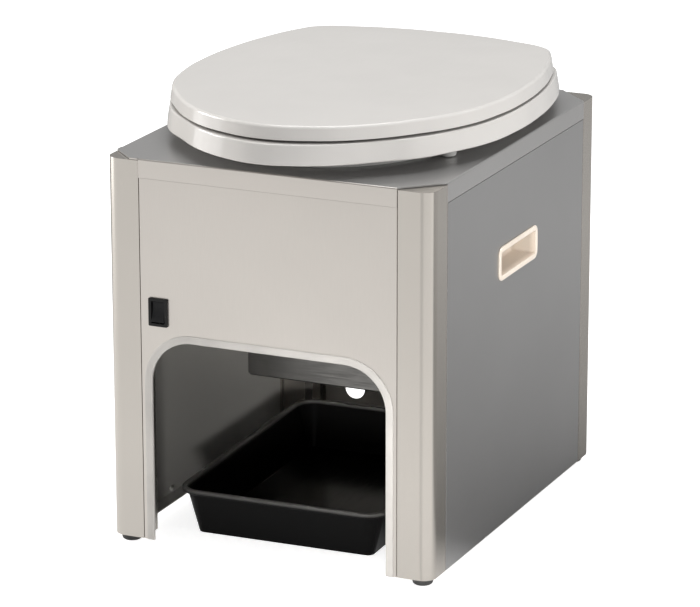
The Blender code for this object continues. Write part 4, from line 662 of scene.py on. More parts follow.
def trail(bm: BMesh, edges: Sequence[BMEdge], place: Matrix) -> list[BMEdge]:
    """Extrude edges to where a matrix takes them.

    Args:
        bm: What the edges belong to.
        edges: The edges.
        place: The matrix.

    Returns:
        The edges at the far end.
    """
    result = bmesh.ops.extrude_edge_only(bm, edges=list(edges))["geom"]
    bmesh.ops.transform(bm, matrix=place, verts=only(result, BMVert))
    return only(result, BMEdge)


def swing(bm: BMesh, edges: Sequence[BMEdge], centre: Sequence[float], axis: Axis, angle: float,
          steps: int) -> list[BMEdge]:
    """Sweep edges about an axis.

    Args:
        bm: What the edges belong to.
        edges: The edges.
        centre: A point of the axis.
        axis: The direction of the axis.
        angle: How far they go round.
        steps: In how many faces.

    Returns:
        The edges at the far end.
    """
    geom = list(edges) + list({vert for edge in edges for vert in edge.verts})
    last = bmesh.ops.spin(bm, geom=geom, cent=centre, axis=axis.line, angle=angle, steps=steps,
                          use_merge=False)["geom_last"]
    return only(last, BMEdge)


def fill_outline(bm: BMesh) -> None:
    """Fill a flat outline and leave its inner outlines open."""
    bmesh.ops.delete(bm, geom=bm.faces[:], context="FACES_KEEP_BOUNDARY")
    bmesh.ops.triangle_fill(bm, use_beauty=True, use_dissolve=False, edges=bm.edges[:], normal=UP)


def rounded_face(bm: BMesh, width: float, height: float, radius: float, segments: int
                 ) -> list[BMVert]:
    """Add a flat rectangle with round corners about the origin, in the XY plane.

    Args:
        bm: Where it goes.
        width: Its size along X.
        height: Its size along Y.
        radius: The radius of its corners.
        segments: How many edges go round a corner.

    Returns:
        Its vertices.
    """
    known = set(bm.verts)
    verts = bmesh.ops.create_grid(bm, x_segments=1, y_segments=1, size=0.5)["verts"]
    bmesh.ops.scale(bm, vec=(width, height, 1.0), verts=verts)
    round_vertices(bm, verts, radius, segments)
    return [vert for vert in bm.verts if vert not in known]


def facing(origin: Sequence[float], across: Sequence[float]) -> Matrix:
    """Return the place of a flat drawing that stands upright.

    Args:
        origin: Where the drawing's zero goes.
        across: The direction that its X runs in; its Y runs up.

    Returns:
        The matrix that puts it there.
    """
    first = Vector(across)
    matrix = Matrix((first, UP, first.cross(UP))).transposed().to_4x4()
    matrix.translation = Vector(origin)
    return matrix


def centre_of(node: str) -> Vector:
    """Return the middle of a node's box."""
    low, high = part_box(node)
    return Vector([(first + last) / 2 for first, last in zip(low, high)])


def set_piece(name: str, bm: BMesh, finish: Finish, body: str, nodes: Sequence[str] = (),
              place: Optional[Matrix] = None) -> None:
    """Turn a bmesh into a dressed piece that rides on a body.

    Args:
        name: The piece's name.
        bm: The piece's shape, freed here.
        finish: The finish it takes.
        body: The model's body that it rides on.
        nodes: The model's nodes that it stands for.
        place: Where a shape that was drawn flat goes.
    """
    if place is not None:
        bmesh.ops.transform(bm, matrix=place, verts=bm.verts[:])
    bmesh.ops.recalc_face_normals(bm, faces=bm.faces[:])
    mesh = bpy.data.meshes.new(name)
    bm.to_mesh(mesh)
    bm.free()
    mesh.shade_smooth()
    mesh.set_sharp_from_angle(angle=SHARP)
    mesh.materials.append(finish.material())
    piece = bpy.data.objects.new(name, mesh)
    bpy.context.scene.collection.objects.link(piece)
    PIECES.append(piece)
    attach(piece, body)
    if nodes:
        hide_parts(*nodes)
    log.info("%s: %d faces on %s", name, len(mesh.polygons), body)


def weigh_normals() -> None:
    """Shade every piece's large faces flat right up to its rounded edges."""
    for piece in PIECES:
        piece.modifiers.new("weighted", "WEIGHTED_NORMAL").keep_sharp = True
    depsgraph = bpy.context.evaluated_depsgraph_get()
    for piece in PIECES:
        rough = piece.data
        name = rough.name
        piece.data = bpy.data.meshes.new_from_object(piece.evaluated_get(depsgraph))
        bpy.data.meshes.remove(rough)
        piece.data.name = name
    for piece in PIECES:
        piece.modifiers.clear()


def node_copy(node: str) -> BMesh:
    """Return a merged copy of a node's mesh, with its flat faces made whole.

    Args:
        node: The node's name.

    Returns:
        The copy.
    """
    bm = bmesh.new()
    bm.from_mesh(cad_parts[node].data)
    bmesh.ops.remove_doubles(bm, verts=bm.verts[:], dist=MERGE)
    bmesh.ops.dissolve_limit(bm, angle_limit=math.radians(0.5), verts=bm.verts[:], edges=bm.edges[:],
                             use_dissolve_boundaries=False, delimit={"NORMAL"})
    return bm


@dataclass
class EasedNode:
    """A node of the model with its sharp edges eased, as a deburred or moulded part has them."""

    node: str
    finish: Finish
    ease: float
    segments: int = 2
    body: str = "cabinet"
    angle: float = math.radians(50)

    def build(self) -> None:
        """Build the dressed copy that stands for the node."""
        bm = node_copy(self.node)
        ease_sharp(bm, self.ease, self.segments, self.angle)
        set_piece(self.node + "_eased", bm, self.finish, self.body, (self.node,))


@dataclass
class Opening:
    """A hole in a panel: a rounded rectangle, a circle, or a notch that runs out below."""

    centre: Pair
    width: float
    height: float
    radius: float
    segments: int = 8
    open_below: bool = False

    @property
    def top(self) -> float:
        """Return the level of the opening's top edge."""
        return self.centre[1] + self.height / 2

    @property
    def sides(self) -> Pair:
        """Return where the opening's left and right edges lie."""
        return self.centre[0] - self.width / 2, self.centre[0] + self.width / 2

    def draw(self, bm: BMesh) -> None:
        """Add the opening's outline to a flat drawing."""
        fresh = rounded_face(bm, self.width, self.height, self.radius, self.segments)
        bmesh.ops.translate(bm, verts=fresh, vec=(*self.centre, 0.0))


def add_shape(bm: BMesh, extra: BMesh) -> None:
    """Copy one shape into another and free it.

    Args:
        bm: The shape that grows.
        extra: The shape that is copied.
    """
    holder = bpy.data.meshes.new("holder")
    bmesh.ops.recalc_face_normals(extra, faces=extra.faces[:])
    extra.to_mesh(holder)
    extra.free()
    bm.from_mesh(holder)
    bpy.data.meshes.remove(holder)


@dataclass
class SheetPanel:
    """A flat panel with openings, drawn in its own plane and then stood in place."""

    name: str
    node: str
    finish: Finish
    place: Matrix
    low: Pair
    high: Pair
    thickness: float = 0.0015
    ease: float = 0.00035

    def build(self, openings: Sequence[Opening] = (), extras: Sequence[BMesh] = ()) -> None:
        """Build the panel.

        Args:
            openings: What is cut out of the panel.
            extras: Shapes in the model's frame that belong to the panel, such as flanges and studs.
        """
        bm = bmesh.new()
        notch = next((item for item in openings if item.open_below), None)
        (left, bottom), (right, top) = self.low, self.high
        corners = [(left, bottom)]
        if notch:
            near, far = notch.sides
            corners += [(near, bottom), (near, notch.top), (far, notch.top), (far, bottom)]
        corners += [(right, bottom), (right, top), (left, top)]
        outline = polygon(bm, [(x, y, 0.0) for x, y in corners])
        if notch:
            shoulders = [vert for vert in outline.verts if abs(vert.co.y - notch.top) < MERGE]
            round_vertices(bm, shoulders, notch.radius, notch.segments)
        for item in openings:
            if not item.open_below:
                item.draw(bm)
        fill_outline(bm)
        push(bm, bm.faces[:], UP * -self.thickness)
        ease_sharp(bm, self.ease, angle=STEEP)
        bmesh.ops.transform(bm, matrix=self.place, verts=bm.verts[:])
        for extra in extras:
            add_shape(bm, extra)
        set_piece(self.name, bm, self.finish, "cabinet", (self.node,))


def shape_from(section: Iterable[Sequence[float]], way: Sequence[float]) -> BMesh:
    """Return a solid: a flat section, pushed along a way."""
    bm = bmesh.new()
    push(bm, [polygon(bm, section)], Vector(way))
    return bm


def turned(profile: Sequence[Pair], centre: Sequence[float], axis: Axis, steps: int = 48) -> BMesh:
    """Turn a profile about an axis.

    Args:
        profile: Pairs of radius and level along the axis, from one end to the other.
        centre: A point of the axis, at level zero.
        axis: The direction of the axis.
        steps: How many faces go round.

    Returns:
        The turned shape, closed where the profile starts and ends on the axis.
    """
    bm = bmesh.new()
    verts = [bm.verts.new((radius, 0.0, level)) for radius, level in profile]
    edges = [bm.edges.new(pair) for pair in zip(verts, verts[1:])]
    bmesh.ops.spin(bm, geom=verts + edges, cent=(0.0, 0.0, 0.0), axis=UP, angle=math.tau, steps=steps,
                   use_merge=True)
    bmesh.ops.remove_doubles(bm, verts=bm.verts[:], dist=MERGE)
    turn = UP.rotation_difference(axis.line).to_matrix().to_4x4()
    bmesh.ops.transform(bm, matrix=Matrix.Translation(centre) @ turn, verts=bm.verts[:])
    return bm


def groove(radius: float, level: float, depth: float, width: float = 0.002,
           slope: float = 0.0005) -> list[Pair]:
    """Return the profile of a groove round a turned body: from a level, so deep and so wide."""
    floor, end = radius - depth, level + width
    return [(radius, level), (floor, level + slope), (floor, end - slope), (radius, end)]


def smooth_loop(bm: BMesh, knots: Sequence[Pair], level: float, resolution: int) -> list[BMEdge]:
    """Pass a smooth closed curve through a few knots and add it as a loop of edges.

    Args:
        bm: Where the loop goes.
        knots: The curve's knots in the XY plane, in order.
        level: The loop's height.
        resolution: How many edges lie between two knots.

    Returns:
        The loop's edges.
    """
    curve = bpy.data.curves.new("outline", "CURVE")
    curve.dimensions = "2D"
    curve.fill_mode = "NONE"
    curve.resolution_u = resolution
    spline = curve.splines.new("BEZIER")
    spline.bezier_points.add(len(knots) - 1)
    spline.use_cyclic_u = True
    for point, (x, y) in zip(spline.bezier_points, knots):
        point.co = (x, y, 0.0)
        point.handle_left_type = point.handle_right_type = "AUTO"
    carrier = bpy.data.objects.new("outline", curve)
    known_edges, known_verts = set(bm.edges), set(bm.verts)
    bm.from_mesh(carrier.to_mesh())
    carrier.to_mesh_clear()
    bpy.data.objects.remove(carrier)
    bpy.data.curves.remove(curve)
    bmesh.ops.translate(bm, verts=[vert for vert in bm.verts if vert not in known_verts], vec=UP * level)
    return [edge for edge in bm.edges if edge not in known_edges]


def oval_loop(bm: BMesh, half: Pair, middle: Pair, level: float, segments: int) -> list[BMEdge]:
    """Add an oval as a loop of edges.

    Args:
        bm: Where the loop goes.
        half: Half of the oval's size along X and Y.
        middle: Its middle in the XY plane.
        level: Its height.
        segments: How many edges it has.

    Returns:
        The loop's edges.
    """
    verts = bmesh.ops.create_circle(bm, cap_ends=False, segments=segments, radius=1.0)["verts"]
    bmesh.ops.scale(bm, vec=(*half, 1.0), verts=verts)
    bmesh.ops.translate(bm, verts=verts, vec=(*middle, level))
    return list({edge for vert in verts for edge in vert.link_edges})


def rounded_ring(bm: BMesh, size: Pair, radius: float, level: float, segments: int) -> list[BMVert]:
    """Add a rectangle with round corners about the Z axis, without a face.

    Args:
        bm: Where it goes.
        size: Its size along X and Y.
        radius: The radius of its corners.
        level: Its height.
        segments: How many edges go round a corner.

    Returns:
        Its vertices in order.
    """
    fresh = rounded_face(bm, *size, radius, segments)
    faces = list({face for vert in fresh for face in vert.link_faces})
    bmesh.ops.delete(bm, geom=faces, context="FACES_ONLY")
    bmesh.ops.translate(bm, verts=fresh, vec=UP * level)
    return sorted(fresh, key=lambda vert: math.atan2(vert.co.y, vert.co.x))


def draw_in(edges: Iterable[BMEdge], distance: float) -> None:
    """Move a closed outline inwards, square to itself.

    Args:
        edges: The outline's edges.
        distance: How far it moves.
    """
    ends: dict[BMVert, list[Vector]] = {}
    for edge in edges:
        first, second = edge.verts
        ends.setdefault(first, []).append(second.co.copy())
        ends.setdefault(second, []).append(first.co.copy())
    centre = sum((vert.co for vert in ends), Vector()) / len(ends)
    for vert, (before, after) in ends.items():
        across = (after - before).cross(UP).normalized()
        vert.co += across * math.copysign(distance, across.dot(centre - vert.co))


@dataclass(frozen=True)
class Cabinet:
    """The leading planes of the metal box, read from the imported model."""

    side: float
    front: float
    back: float
    base: float
    top: float
    post: float = 0.037
    groove: float = 0.0008
    sheet: float = 0.0015
    flange: float = 0.0197
    seam: float = 0.0005
    close_seam: float = 0.00005

    @classmethod
    def read(cls) -> "Cabinet":
        """Return the box that the model's plates make."""
        low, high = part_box("top_plate")
        return cls(high[0], low[1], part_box("back_panel")[1][1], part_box("front_panel")[0][2], high[2])

    @property
    def middle(self) -> float:
        """Return how far back the box's middle lies."""
        return (self.front + self.back) / 2

    @property
    def half_depth(self) -> float:
        """Return half of the box's depth."""
        return (self.back - self.front) / 2

    @property
    def panel_top(self) -> float:
        """Return the level of the panels' top edges."""
        return self.top - self.flange - self.seam

    @property
    def front_top(self) -> float:
        """Return the level of the front panel's top edge, close under the plate's flange."""
        return self.top - self.flange - self.close_seam

    @property
    def panel_half_x(self) -> float:
        """Return half of the width of the front and back panels."""
        return self.side - self.post - self.groove

    @property
    def panel_half_y(self) -> float:
        """Return half of the width of the side panels."""
        return self.half_depth - self.post - self.groove

    def corner(self, sign_x: int, sign_y: int) -> Matrix:
        """Return the place of a drawing whose zero is a corner of the box and whose axes run inwards."""
        return Matrix(((-sign_x, 0.0, 0.0, sign_x * self.side),
                       (0.0, -sign_y, 0.0, self.middle + sign_y * self.half_depth),
                       (0.0, 0.0, 1.0, 0.0), (0.0, 0.0, 0.0, 1.0)))


BOX = Cabinet.read()
CORNERS = {(-1, -1): "front_left", (1, -1): "front_right", (-1, 1): "rear_left", (1, 1): "rear_right"}


@dataclass
class CornerPost:
    """An extruded corner post with its foot: a round corner, and a lip behind each panel edge."""

    signs: tuple[int, int]
    radius: float = 0.014
    round_steps: int = 18
    lip_depth: float = 0.0018
    lip: float = 0.0035
    wall: float = 0.002
    bevel: float = 0.006
    drop: float = 0.0018
    ease: float = 0.00035
    foot_inset: float = 0.0155
    foot_side: tuple[Pair, ...] = ((0.0, 0.0), (0.0070, 0.0), (0.0086, 0.0004), (0.0098, 0.0013),
                                   (0.0104, 0.0026), (0.0105, 0.0040), (0.0102, 0.0058))
    stud_radius: float = 0.002
    stud_length: float = 0.0070

    @property
    def corner(self) -> str:
        """Return the corner's name."""
        return CORNERS[self.signs]

    def build(self) -> None:
        """Build the extruded post, up to just under the plate."""
        inner = self.lip_depth + self.wall
        face = BOX.post
        reach = face + self.lip
        section = ((0.0, 0.0), (0.0, face), (self.lip_depth, face), (self.lip_depth, reach),
                   (inner, reach),
                   (inner, face), (face - self.bevel, face), (face, face - self.bevel), (face, inner),
                   (reach, inner), (reach, self.lip_depth), (face, self.lip_depth), (face, 0.0))
        bm = bmesh.new()
        outline = polygon(bm, [(u, v, BOX.base) for u, v in section])
        zero = [vert for vert in outline.verts if vert.co.xy.length < MERGE]
        round_vertices(bm, zero, self.radius, self.round_steps)
        push(bm, bm.faces[:], UP * (BOX.top - self.drop - BOX.base))
        ease_sharp(bm, self.ease)
        set_piece("post_" + self.corner, bm, POST_COAT, "cabinet", ("corner_post_" + self.corner,),
                  BOX.corner(*self.signs))

    def build_foot(self) -> None:
        """Build the rubber foot under the post, moulded round its stud."""
        top = BOX.base - HAIR
        stud, tip = self.stud_radius, top + self.stud_length
        profile = (*self.foot_side, (0.0097, top - 0.0004), (0.0092, top), (stud, top),
                   (stud, tip - 0.0005),
                   (stud - 0.0004, tip), (0.0, tip))
        place = BOX.corner(*self.signs) @ Vector((self.foot_inset, self.foot_inset, 0.0))
        bm = turned(profile, place, Axis.Z)
        set_piece("rubber_foot_" + self.corner, bm, RUBBER, "cabinet", ("foot_" + self.corner,))


@dataclass
class TopPlate:
    """The folded top plate: cut corners, a flange with a bend on each side, and the bowl's opening."""

    fold: float = 0.0016
    fold_steps: int = 6
    ease: float = 0.00015
    hole: Pair = (0.118, 0.142)
    hole_steps: int = 96
    bracket_width: float = 0.016
    bracket_leg: float = 0.0368
    bracket_tab: float = 0.010
    bracket_hook: float = 0.012
    bracket_bottom: float = 0.3487
    bracket_sink: float = 1.02
    short_cut: float = 0.0275
    slit: float = 0.0006
    end_gap: float = 0.0009
    bolt_place: Pair = (0.098, 0.21235)
    bolt_radius: float = 0.0023
    bolt_steps: int = 24

    def build(self) -> None:
        """Build the plate, drawn flat, folded down and thickened, and its brackets."""
        bm = bmesh.new()
        half_x, half_y = BOX.panel_half_x + BOX.groove, BOX.panel_half_y + BOX.groove
        side, front, back = BOX.side - self.fold, BOX.front + self.fold, BOX.back - self.fold
        low_y, high_y = BOX.middle - half_y, BOX.middle + half_y
        tab_x, tab_y = -half_x - self.slit, low_y - self.slit
        corners = ((-half_x, front), (half_x - self.end_gap, front), (side, low_y), (side, high_y),
                   (half_x, back), (-half_x, back), (-side, high_y), (-side, low_y), (-side, tab_y),
                   (-BOX.side, tab_y), (-BOX.side, BOX.front + self.short_cut),
                   (-BOX.side + self.short_cut, BOX.front), (tab_x, BOX.front), (tab_x, front))
        polygon(bm, [(x, y, BOX.top) for x, y in corners])
        oval_loop(bm, self.hole, (0.0, BOWL_Y), BOX.top, self.hole_steps)
        for sign in (-1, 1):
            middle = (sign * self.bolt_place[0], self.bolt_place[1])
            oval_loop(bm, (self.bolt_radius,) * 2, middle, BOX.top, self.bolt_steps)
        fill_outline(bm)
        for level, along, out in ((front, Axis.X, -1), (back, Axis.X, 1), (-side, Axis.Y, -1),
                                  (side, Axis.Y, 1)):
            self.fold_edge(bm, level, along, out)
        bmesh.ops.recalc_face_normals(bm, faces=bm.faces[:])
        self.thicken(bm)
        ease_sharp(bm, self.ease, angle=math.radians(70))
        for sign in (-1, 1):
            for towards in (Axis.X, Axis.Y):
                add_shape(bm, self.bracket(towards, sign))
        set_piece("folded_top_plate", bm, TOP_COAT, "cabinet", ("top_plate",))

    def fold_edge(self, bm: BMesh, level: float, along: Axis, out: int) -> None:
        """Fold a flange down from one straight side of the flat plate.

        Args:
            bm: The plate.
            level: Where the flat ends, across the side.
            along: The direction that the side runs in.
            out: The sign of the side.
        """
        across = 1 if along is Axis.X else 0
        sides = [edge for edge in open_edges(bm) if lies_at(edge, level, across)]
        edge = max(sides, key=lambda item: item.calc_length())
        centre = Vector((0.0, 0.0, BOX.top - self.fold))
        centre[across] = level
        turn = math.pi / 2 * out * (-1 if along is Axis.X else 1)
        bent = swing(bm, [edge], centre, along, turn, self.fold_steps)
        trail(bm, bent, Matrix.Translation(UP * (self.fold - BOX.flange)))

    def thicken(self, bm: BMesh) -> None:
        """Give the folded sheet its thickness, inwards.

        Args:
            bm: The sheet.
        """
        flat = next(face for face in bm.faces if abs(face.normal.z) > 0.99)
        if flat.normal.z < 0.0:
            bmesh.ops.reverse_faces(bm, faces=bm.faces[:])
        bmesh.ops.solidify(bm, geom=bm.faces[:], thickness=BOX.sheet)

    def bracket(self, towards: Axis, sign: int) -> BMesh:
        """Return one of the Z-shaped brackets under the plate that hold the cassette.

        Args:
            towards: The axis that it stands out along.
            sign: Which end of that axis it stands at.

        Returns:
            The bracket.
        """
        thick = BOX.sheet
        leg = self.bracket_leg + BOWL[0 if towards is Axis.X else 1]
        top = BOX.top - thick * self.bracket_sink
        bottom, hook, tab = self.bracket_bottom, leg - self.bracket_hook, leg + thick + self.bracket_tab
        points = ((hook, bottom), (leg + thick, bottom), (leg + thick, top - thick), (tab, top - thick),
                  (tab, top), (leg, top), (leg, bottom + thick), (hook, bottom + thick))
        half = self.bracket_width / 2
        if towards is Axis.X:
            section = [(sign * u, BOWL_Y - half, v) for u, v in points]
            way = (0.0, self.bracket_width, 0.0)
        else:
            section = [(-half, BOWL_Y + sign * u, v) for u, v in points]
            way = (self.bracket_width, 0.0, 0.0)
        bm = shape_from(section, way)
        ease_sharp(bm, HAIR)
        return bm


@dataclass
class PanelSet:
    """The four upright panels, each with its openings, flanges and studs."""

    grip: Pair = (0.0975, 0.0285)
    grip_radius: float = 0.0085
    switch: Pair = (0.0176, 0.0257)
    switch_radius: float = 0.0020
    arch_half: float = 0.1298
    arch_top: float = 0.2239
    arch_radius: float = 0.0466
    arch_steps: int = 16
    front_ease: float = 0.00012
    cable_place: Pair = (-0.102, 0.0432)
    cable_radius: float = 0.0117
    inlet_place: Pair = (0.112, 0.078)
    inlet: Pair = (0.0246, 0.0446)
    inlet_radius: float = 0.004
    flange: float = 0.016
    flange_ease: float = 0.00025
    notch: float = 0.0035
    stud_y: float = 0.089
    stud_level: float = 0.0145
    stud_radius: float = 0.003
    stud_reach: float = 0.0028
    stud_dome: tuple[Pair, ...] = ((1.0, 0.0011), (0.93, 0.0006), (0.75, 0.0002), (0.45, 0.0), (0.0, 0.0))

    def build(self) -> None:
        """Build the front, the sides and the back."""
        self.build_front()
        for side in Side:
            self.build_side(side)
        self.build_back()

    def build_front(self) -> None:
        """Build the front panel with the arch and the window of the switch."""
        half = BOX.panel_half_x
        height = self.arch_top - BOX.base
        arch = Opening((0.0, BOX.base + height / 2), self.arch_half * 2, height, self.arch_radius,
                       self.arch_steps, True)
        window = Opening(SWITCH_PLACE, *self.switch, self.switch_radius, 5)
        place = facing((0.0, BOX.front, 0.0), (1.0, 0.0, 0.0))
        SheetPanel("arched_front_panel", "front_panel", FRONT_COAT, place, (-half, BOX.base),
                   (half, BOX.front_top), ease=self.front_ease).build((arch, window))

    def build_side(self, side: Side) -> None:
        """Build a side panel with the window of the grip, its foot flange and its studs.

        Args:
            side: Which side.
        """
        sign = side.value
        half, middle = BOX.panel_half_y, sign * BOX.middle
        place = facing((sign * BOX.side, 0.0, 0.0), (0.0, float(sign), 0.0))
        window = Opening((middle, GRIP_LEVEL), *self.grip, self.grip_radius)
        extras = [self.side_flange(sign), *[self.stud(sign, end) for end in (-1, 1)]]
        SheetPanel(side.word + "_sheet", side.word + "_side_panel", SIDE_COAT, place,
                   (middle - half, BOX.base), (middle + half, BOX.panel_top)).build((window,), extras)

    def side_flange(self, sign: int) -> BMesh:
        """Return the flange that turns inwards along the foot of a side panel.

        Args:
            sign: The sign of the side.

        Returns:
            The flange.
        """
        half = BOX.panel_half_y - self.notch
        outer, inner = BOX.side - BOX.sheet * 0.6, BOX.side - self.flange
        low, high = BOX.base + HAIR / 2, BOX.base + BOX.sheet
        section = ((outer, low), (inner, low), (inner, high), (outer, high))
        bm = shape_from([(sign * x, BOX.middle - half, z) for x, z in section], (0.0, half * 2, 0.0))
        ease_sharp(bm, self.flange_ease)
        return bm

    def stud(self, sign: int, end: int) -> BMesh:
        """Return a small welded stud with a domed head, low on the inner face of a side panel.

        Args:
            sign: The sign of the side.
            end: -1 for the stud near the front, 1 for the one near the back.

        Returns:
            The stud.
        """
        root = -BOX.sheet / 2
        dome = [(self.stud_radius * share, self.stud_reach - drop) for share, drop in self.stud_dome]
        bm = turned([(0.0, root), (self.stud_radius, root), *dome], (0.0, 0.0, 0.0), Axis.X, 28)
        place = (sign * (BOX.side - BOX.sheet), BOX.middle + end * self.stud_y, self.stud_level)
        turn = Matrix.Scale(-sign, 4, Axis.X.line)
        bmesh.ops.transform(bm, matrix=Matrix.Translation(place) @ turn, verts=bm.verts[:])
        return bm

    def build_back(self) -> None:
        """Build the back panel with the round hole and the window of the power inlet."""
        half, radius = BOX.panel_half_x, self.cable_radius
        place = facing((0.0, BOX.back, 0.0), (-1.0, 0.0, 0.0))
        hole = Opening((-self.cable_place[0], self.cable_place[1]), radius * 2, radius * 2,
                       radius * NEARLY_ALL, 16)
        window = Opening((-self.inlet_place[0], self.inlet_place[1]), *self.inlet, self.inlet_radius, 5)
        SheetPanel("rear_sheet", "back_panel", BACK_COAT, place, (-half, BOX.base),
                   (half, BOX.panel_top)).build((hole, window))


@dataclass
class ArchEdging:
    """The pale plastic channel that grips the edge of the arch, with a gently domed face."""

    half: float = 0.1285
    top: float = 0.2223
    radius: float = 0.045
    steps: int = 18
    face: float = 0.008
    web: float = 0.0013
    proud: float = 0.0011

    def build(self) -> None:
        """Build the edging, drawn once up the left jamb and swept round the arch."""
        face, web = self.face, self.web
        front, back = BOX.front - self.proud, BOX.front + BOX.sheet + self.proud
        slot_front, slot_back = BOX.front - HAIR, BOX.front + BOX.sheet + HAIR
        section = ((0.0, front + 0.0006), (0.0006, front + 0.00012), (face * 0.35, front),
                   (face * 0.65, front + 0.00004), (face - 0.0007, front + 0.0002),
                   (face, front + 0.0007),
                   (face, slot_front), (web, slot_front), (web, slot_back), (face, slot_back),
                   (face, back - 0.0004), (face - 0.0005, back), (0.0005, back), (0.0, back - 0.0005))
        bm = bmesh.new()
        edges = polygon(bm, [(-self.half - inset, y, BOX.base) for inset, y in section]).edges[:]
        shoulder, middle = self.top - self.radius, self.half - self.radius
        jamb = Matrix.Translation(UP * (shoulder - BOX.base))
        edges = trail(bm, edges, jamb)
        edges = swing(bm, edges, (-middle, 0.0, shoulder), Axis.Y, math.pi / 2, self.steps)
        edges = trail(bm, edges, Matrix.Translation((middle * 2, 0.0, 0.0)))
        edges = swing(bm, edges, (middle, 0.0, shoulder), Axis.Y, math.pi / 2, self.steps)
        edges = trail(bm, edges, jamb.inverted())
        bmesh.ops.contextual_create(bm, geom=edges)
        set_piece("arch_edging", bm, EDGE_TRIM, "cabinet", ("arch_edge_trim",))


def quarter(middle: float, level: float, radius: float, start: int, end: int,
            steps: int = 4) -> list[Pair]:
    """Return margins and levels of a quarter round, from one angle to another in degrees."""
    turns = [math.radians(start + (end - start) * step / steps) for step in range(steps + 1)]
    return [(middle + radius * math.cos(turn), level + radius * math.sin(turn)) for turn in turns]


def rounded_loft(size: Pair, radius: float, levels: Sequence[Pair], least: float = 0.0006,
                 segments: int = 10) -> BMesh:
    """Loft a closed shape through rounded rectangles, from its first level to its last.

    Args:
        size: Width and length of the rectangle whose margin is zero.
        radius: Corner radius of that rectangle.
        levels: Pairs of margin, outwards, and height.
        least: The smallest corner radius that a rectangle gets.
        segments: How many edges go round a corner.

    Returns:
        The shape, with a flat face at each end.
    """
    bm = bmesh.new()
    rings = [rounded_ring(bm, (size[0] + margin * 2, size[1] + margin * 2), max(radius + margin, least),
                          level, segments) for margin, level in levels]
    for first, second in zip(rings, rings[1:]):
        for place, vert in enumerate(first):
            bm.faces.new((first[place - 1], vert, second[place], second[place - 1]))
    bm.faces.new(rings[0])
    bm.faces.new(rings[-1])
    return bm


@dataclass
class RimmedCup:
    """A moulded cup with a rim that lies on a panel, such as a grip or the frame of a switch."""

    size: Pair
    rim: float
    radius: float
    proud: float
    depth: float
    wall: float
    ease: float
    floor_ease: float

    def build(self, name: str, node: str, finish: Finish, place: Matrix) -> None:
        """Build the cup.

        Args:
            name: The piece's name.
            node: The node that it stands for.
            finish: The finish it takes.
            place: Where its rim lies.
        """
        outer = self.wall - self.rim
        ease, floor = self.ease, self.floor_ease
        levels = [(outer - floor, -self.depth - self.wall), (outer, floor - self.depth - self.wall),
                  (outer, HAIR), (0.0, HAIR), *quarter(-ease, self.proud - ease, ease, 0, 90),
                  *quarter(ease - self.rim, self.proud - ease, ease, 90, 180),
                  *quarter(-self.rim - floor, floor - self.depth, floor, 0, -90)]
        set_piece(name, rounded_loft(self.size, self.radius, levels), finish, "cabinet", (node,), place)


@dataclass
class SideGrips:
    """The cream grip that is let into each side panel."""

    cup: RimmedCup

    def build(self) -> None:
        """Build the left and the right grip."""
        for side in Side:
            sign = float(side.value)
            place = facing((sign * BOX.side, BOX.middle, GRIP_LEVEL), (0.0, sign, 0.0))
            self.cup.build(side.word + "_grip_recess", side.word + "_grip_cup", CREAM, place)


@dataclass
class PowerSwitch:
    """The black rocker switch: a frame with a rounded bezel and a rocker with a hollow face."""

    bezel: RimmedCup
    gap: float = 0.0004
    pivot: float = 0.0042
    tilt: float = math.radians(8)
    face: float = 0.0035
    dip: float = 0.0016
    back: float = 0.0040
    lip: float = 0.0008
    taper: float = 0.72
    dip_round: float = 0.006
    ease: float = 0.0005

    def build(self) -> None:
        """Build the frame and the rocker."""
        x, z = SWITCH_PLACE
        place = facing((x, BOX.front, z), (1.0, 0.0, 0.0))
        self.bezel.build("switch_bezel", "switch_frame", SWITCH_BLACK, place)
        half = self.bezel.size[1] / 2 - self.bezel.rim - self.gap * 2
        half_width = self.bezel.size[0] / 2 - self.bezel.rim - self.gap
        points = ((-self.face, -half), (-self.face, -half + self.lip), (-self.dip, 0.0),
                  (-self.face, half - self.lip), (-self.face, half), (self.back, half * self.taper),
                  (self.back, -half * self.taper))
        bm = shape_from([(-half_width, y, z) for y, z in points], (half_width * 2, 0.0, 0.0))
        round_edges(bm, [edge for edge in bm.edges if lies_at(edge, 0.0)], self.dip_round, 10)
        ease_sharp(bm, self.ease, 3)
        bmesh.ops.rotate(bm, verts=bm.verts[:], matrix=Matrix.Rotation(-self.tilt, 3, "X"))
        pivot = (x, BOX.front - self.bezel.proud + self.pivot, z)
        set_piece("rocker_key", bm, ROCKER_BLACK, "rocker", ("switch_rocker",), Matrix.Translation(pivot))


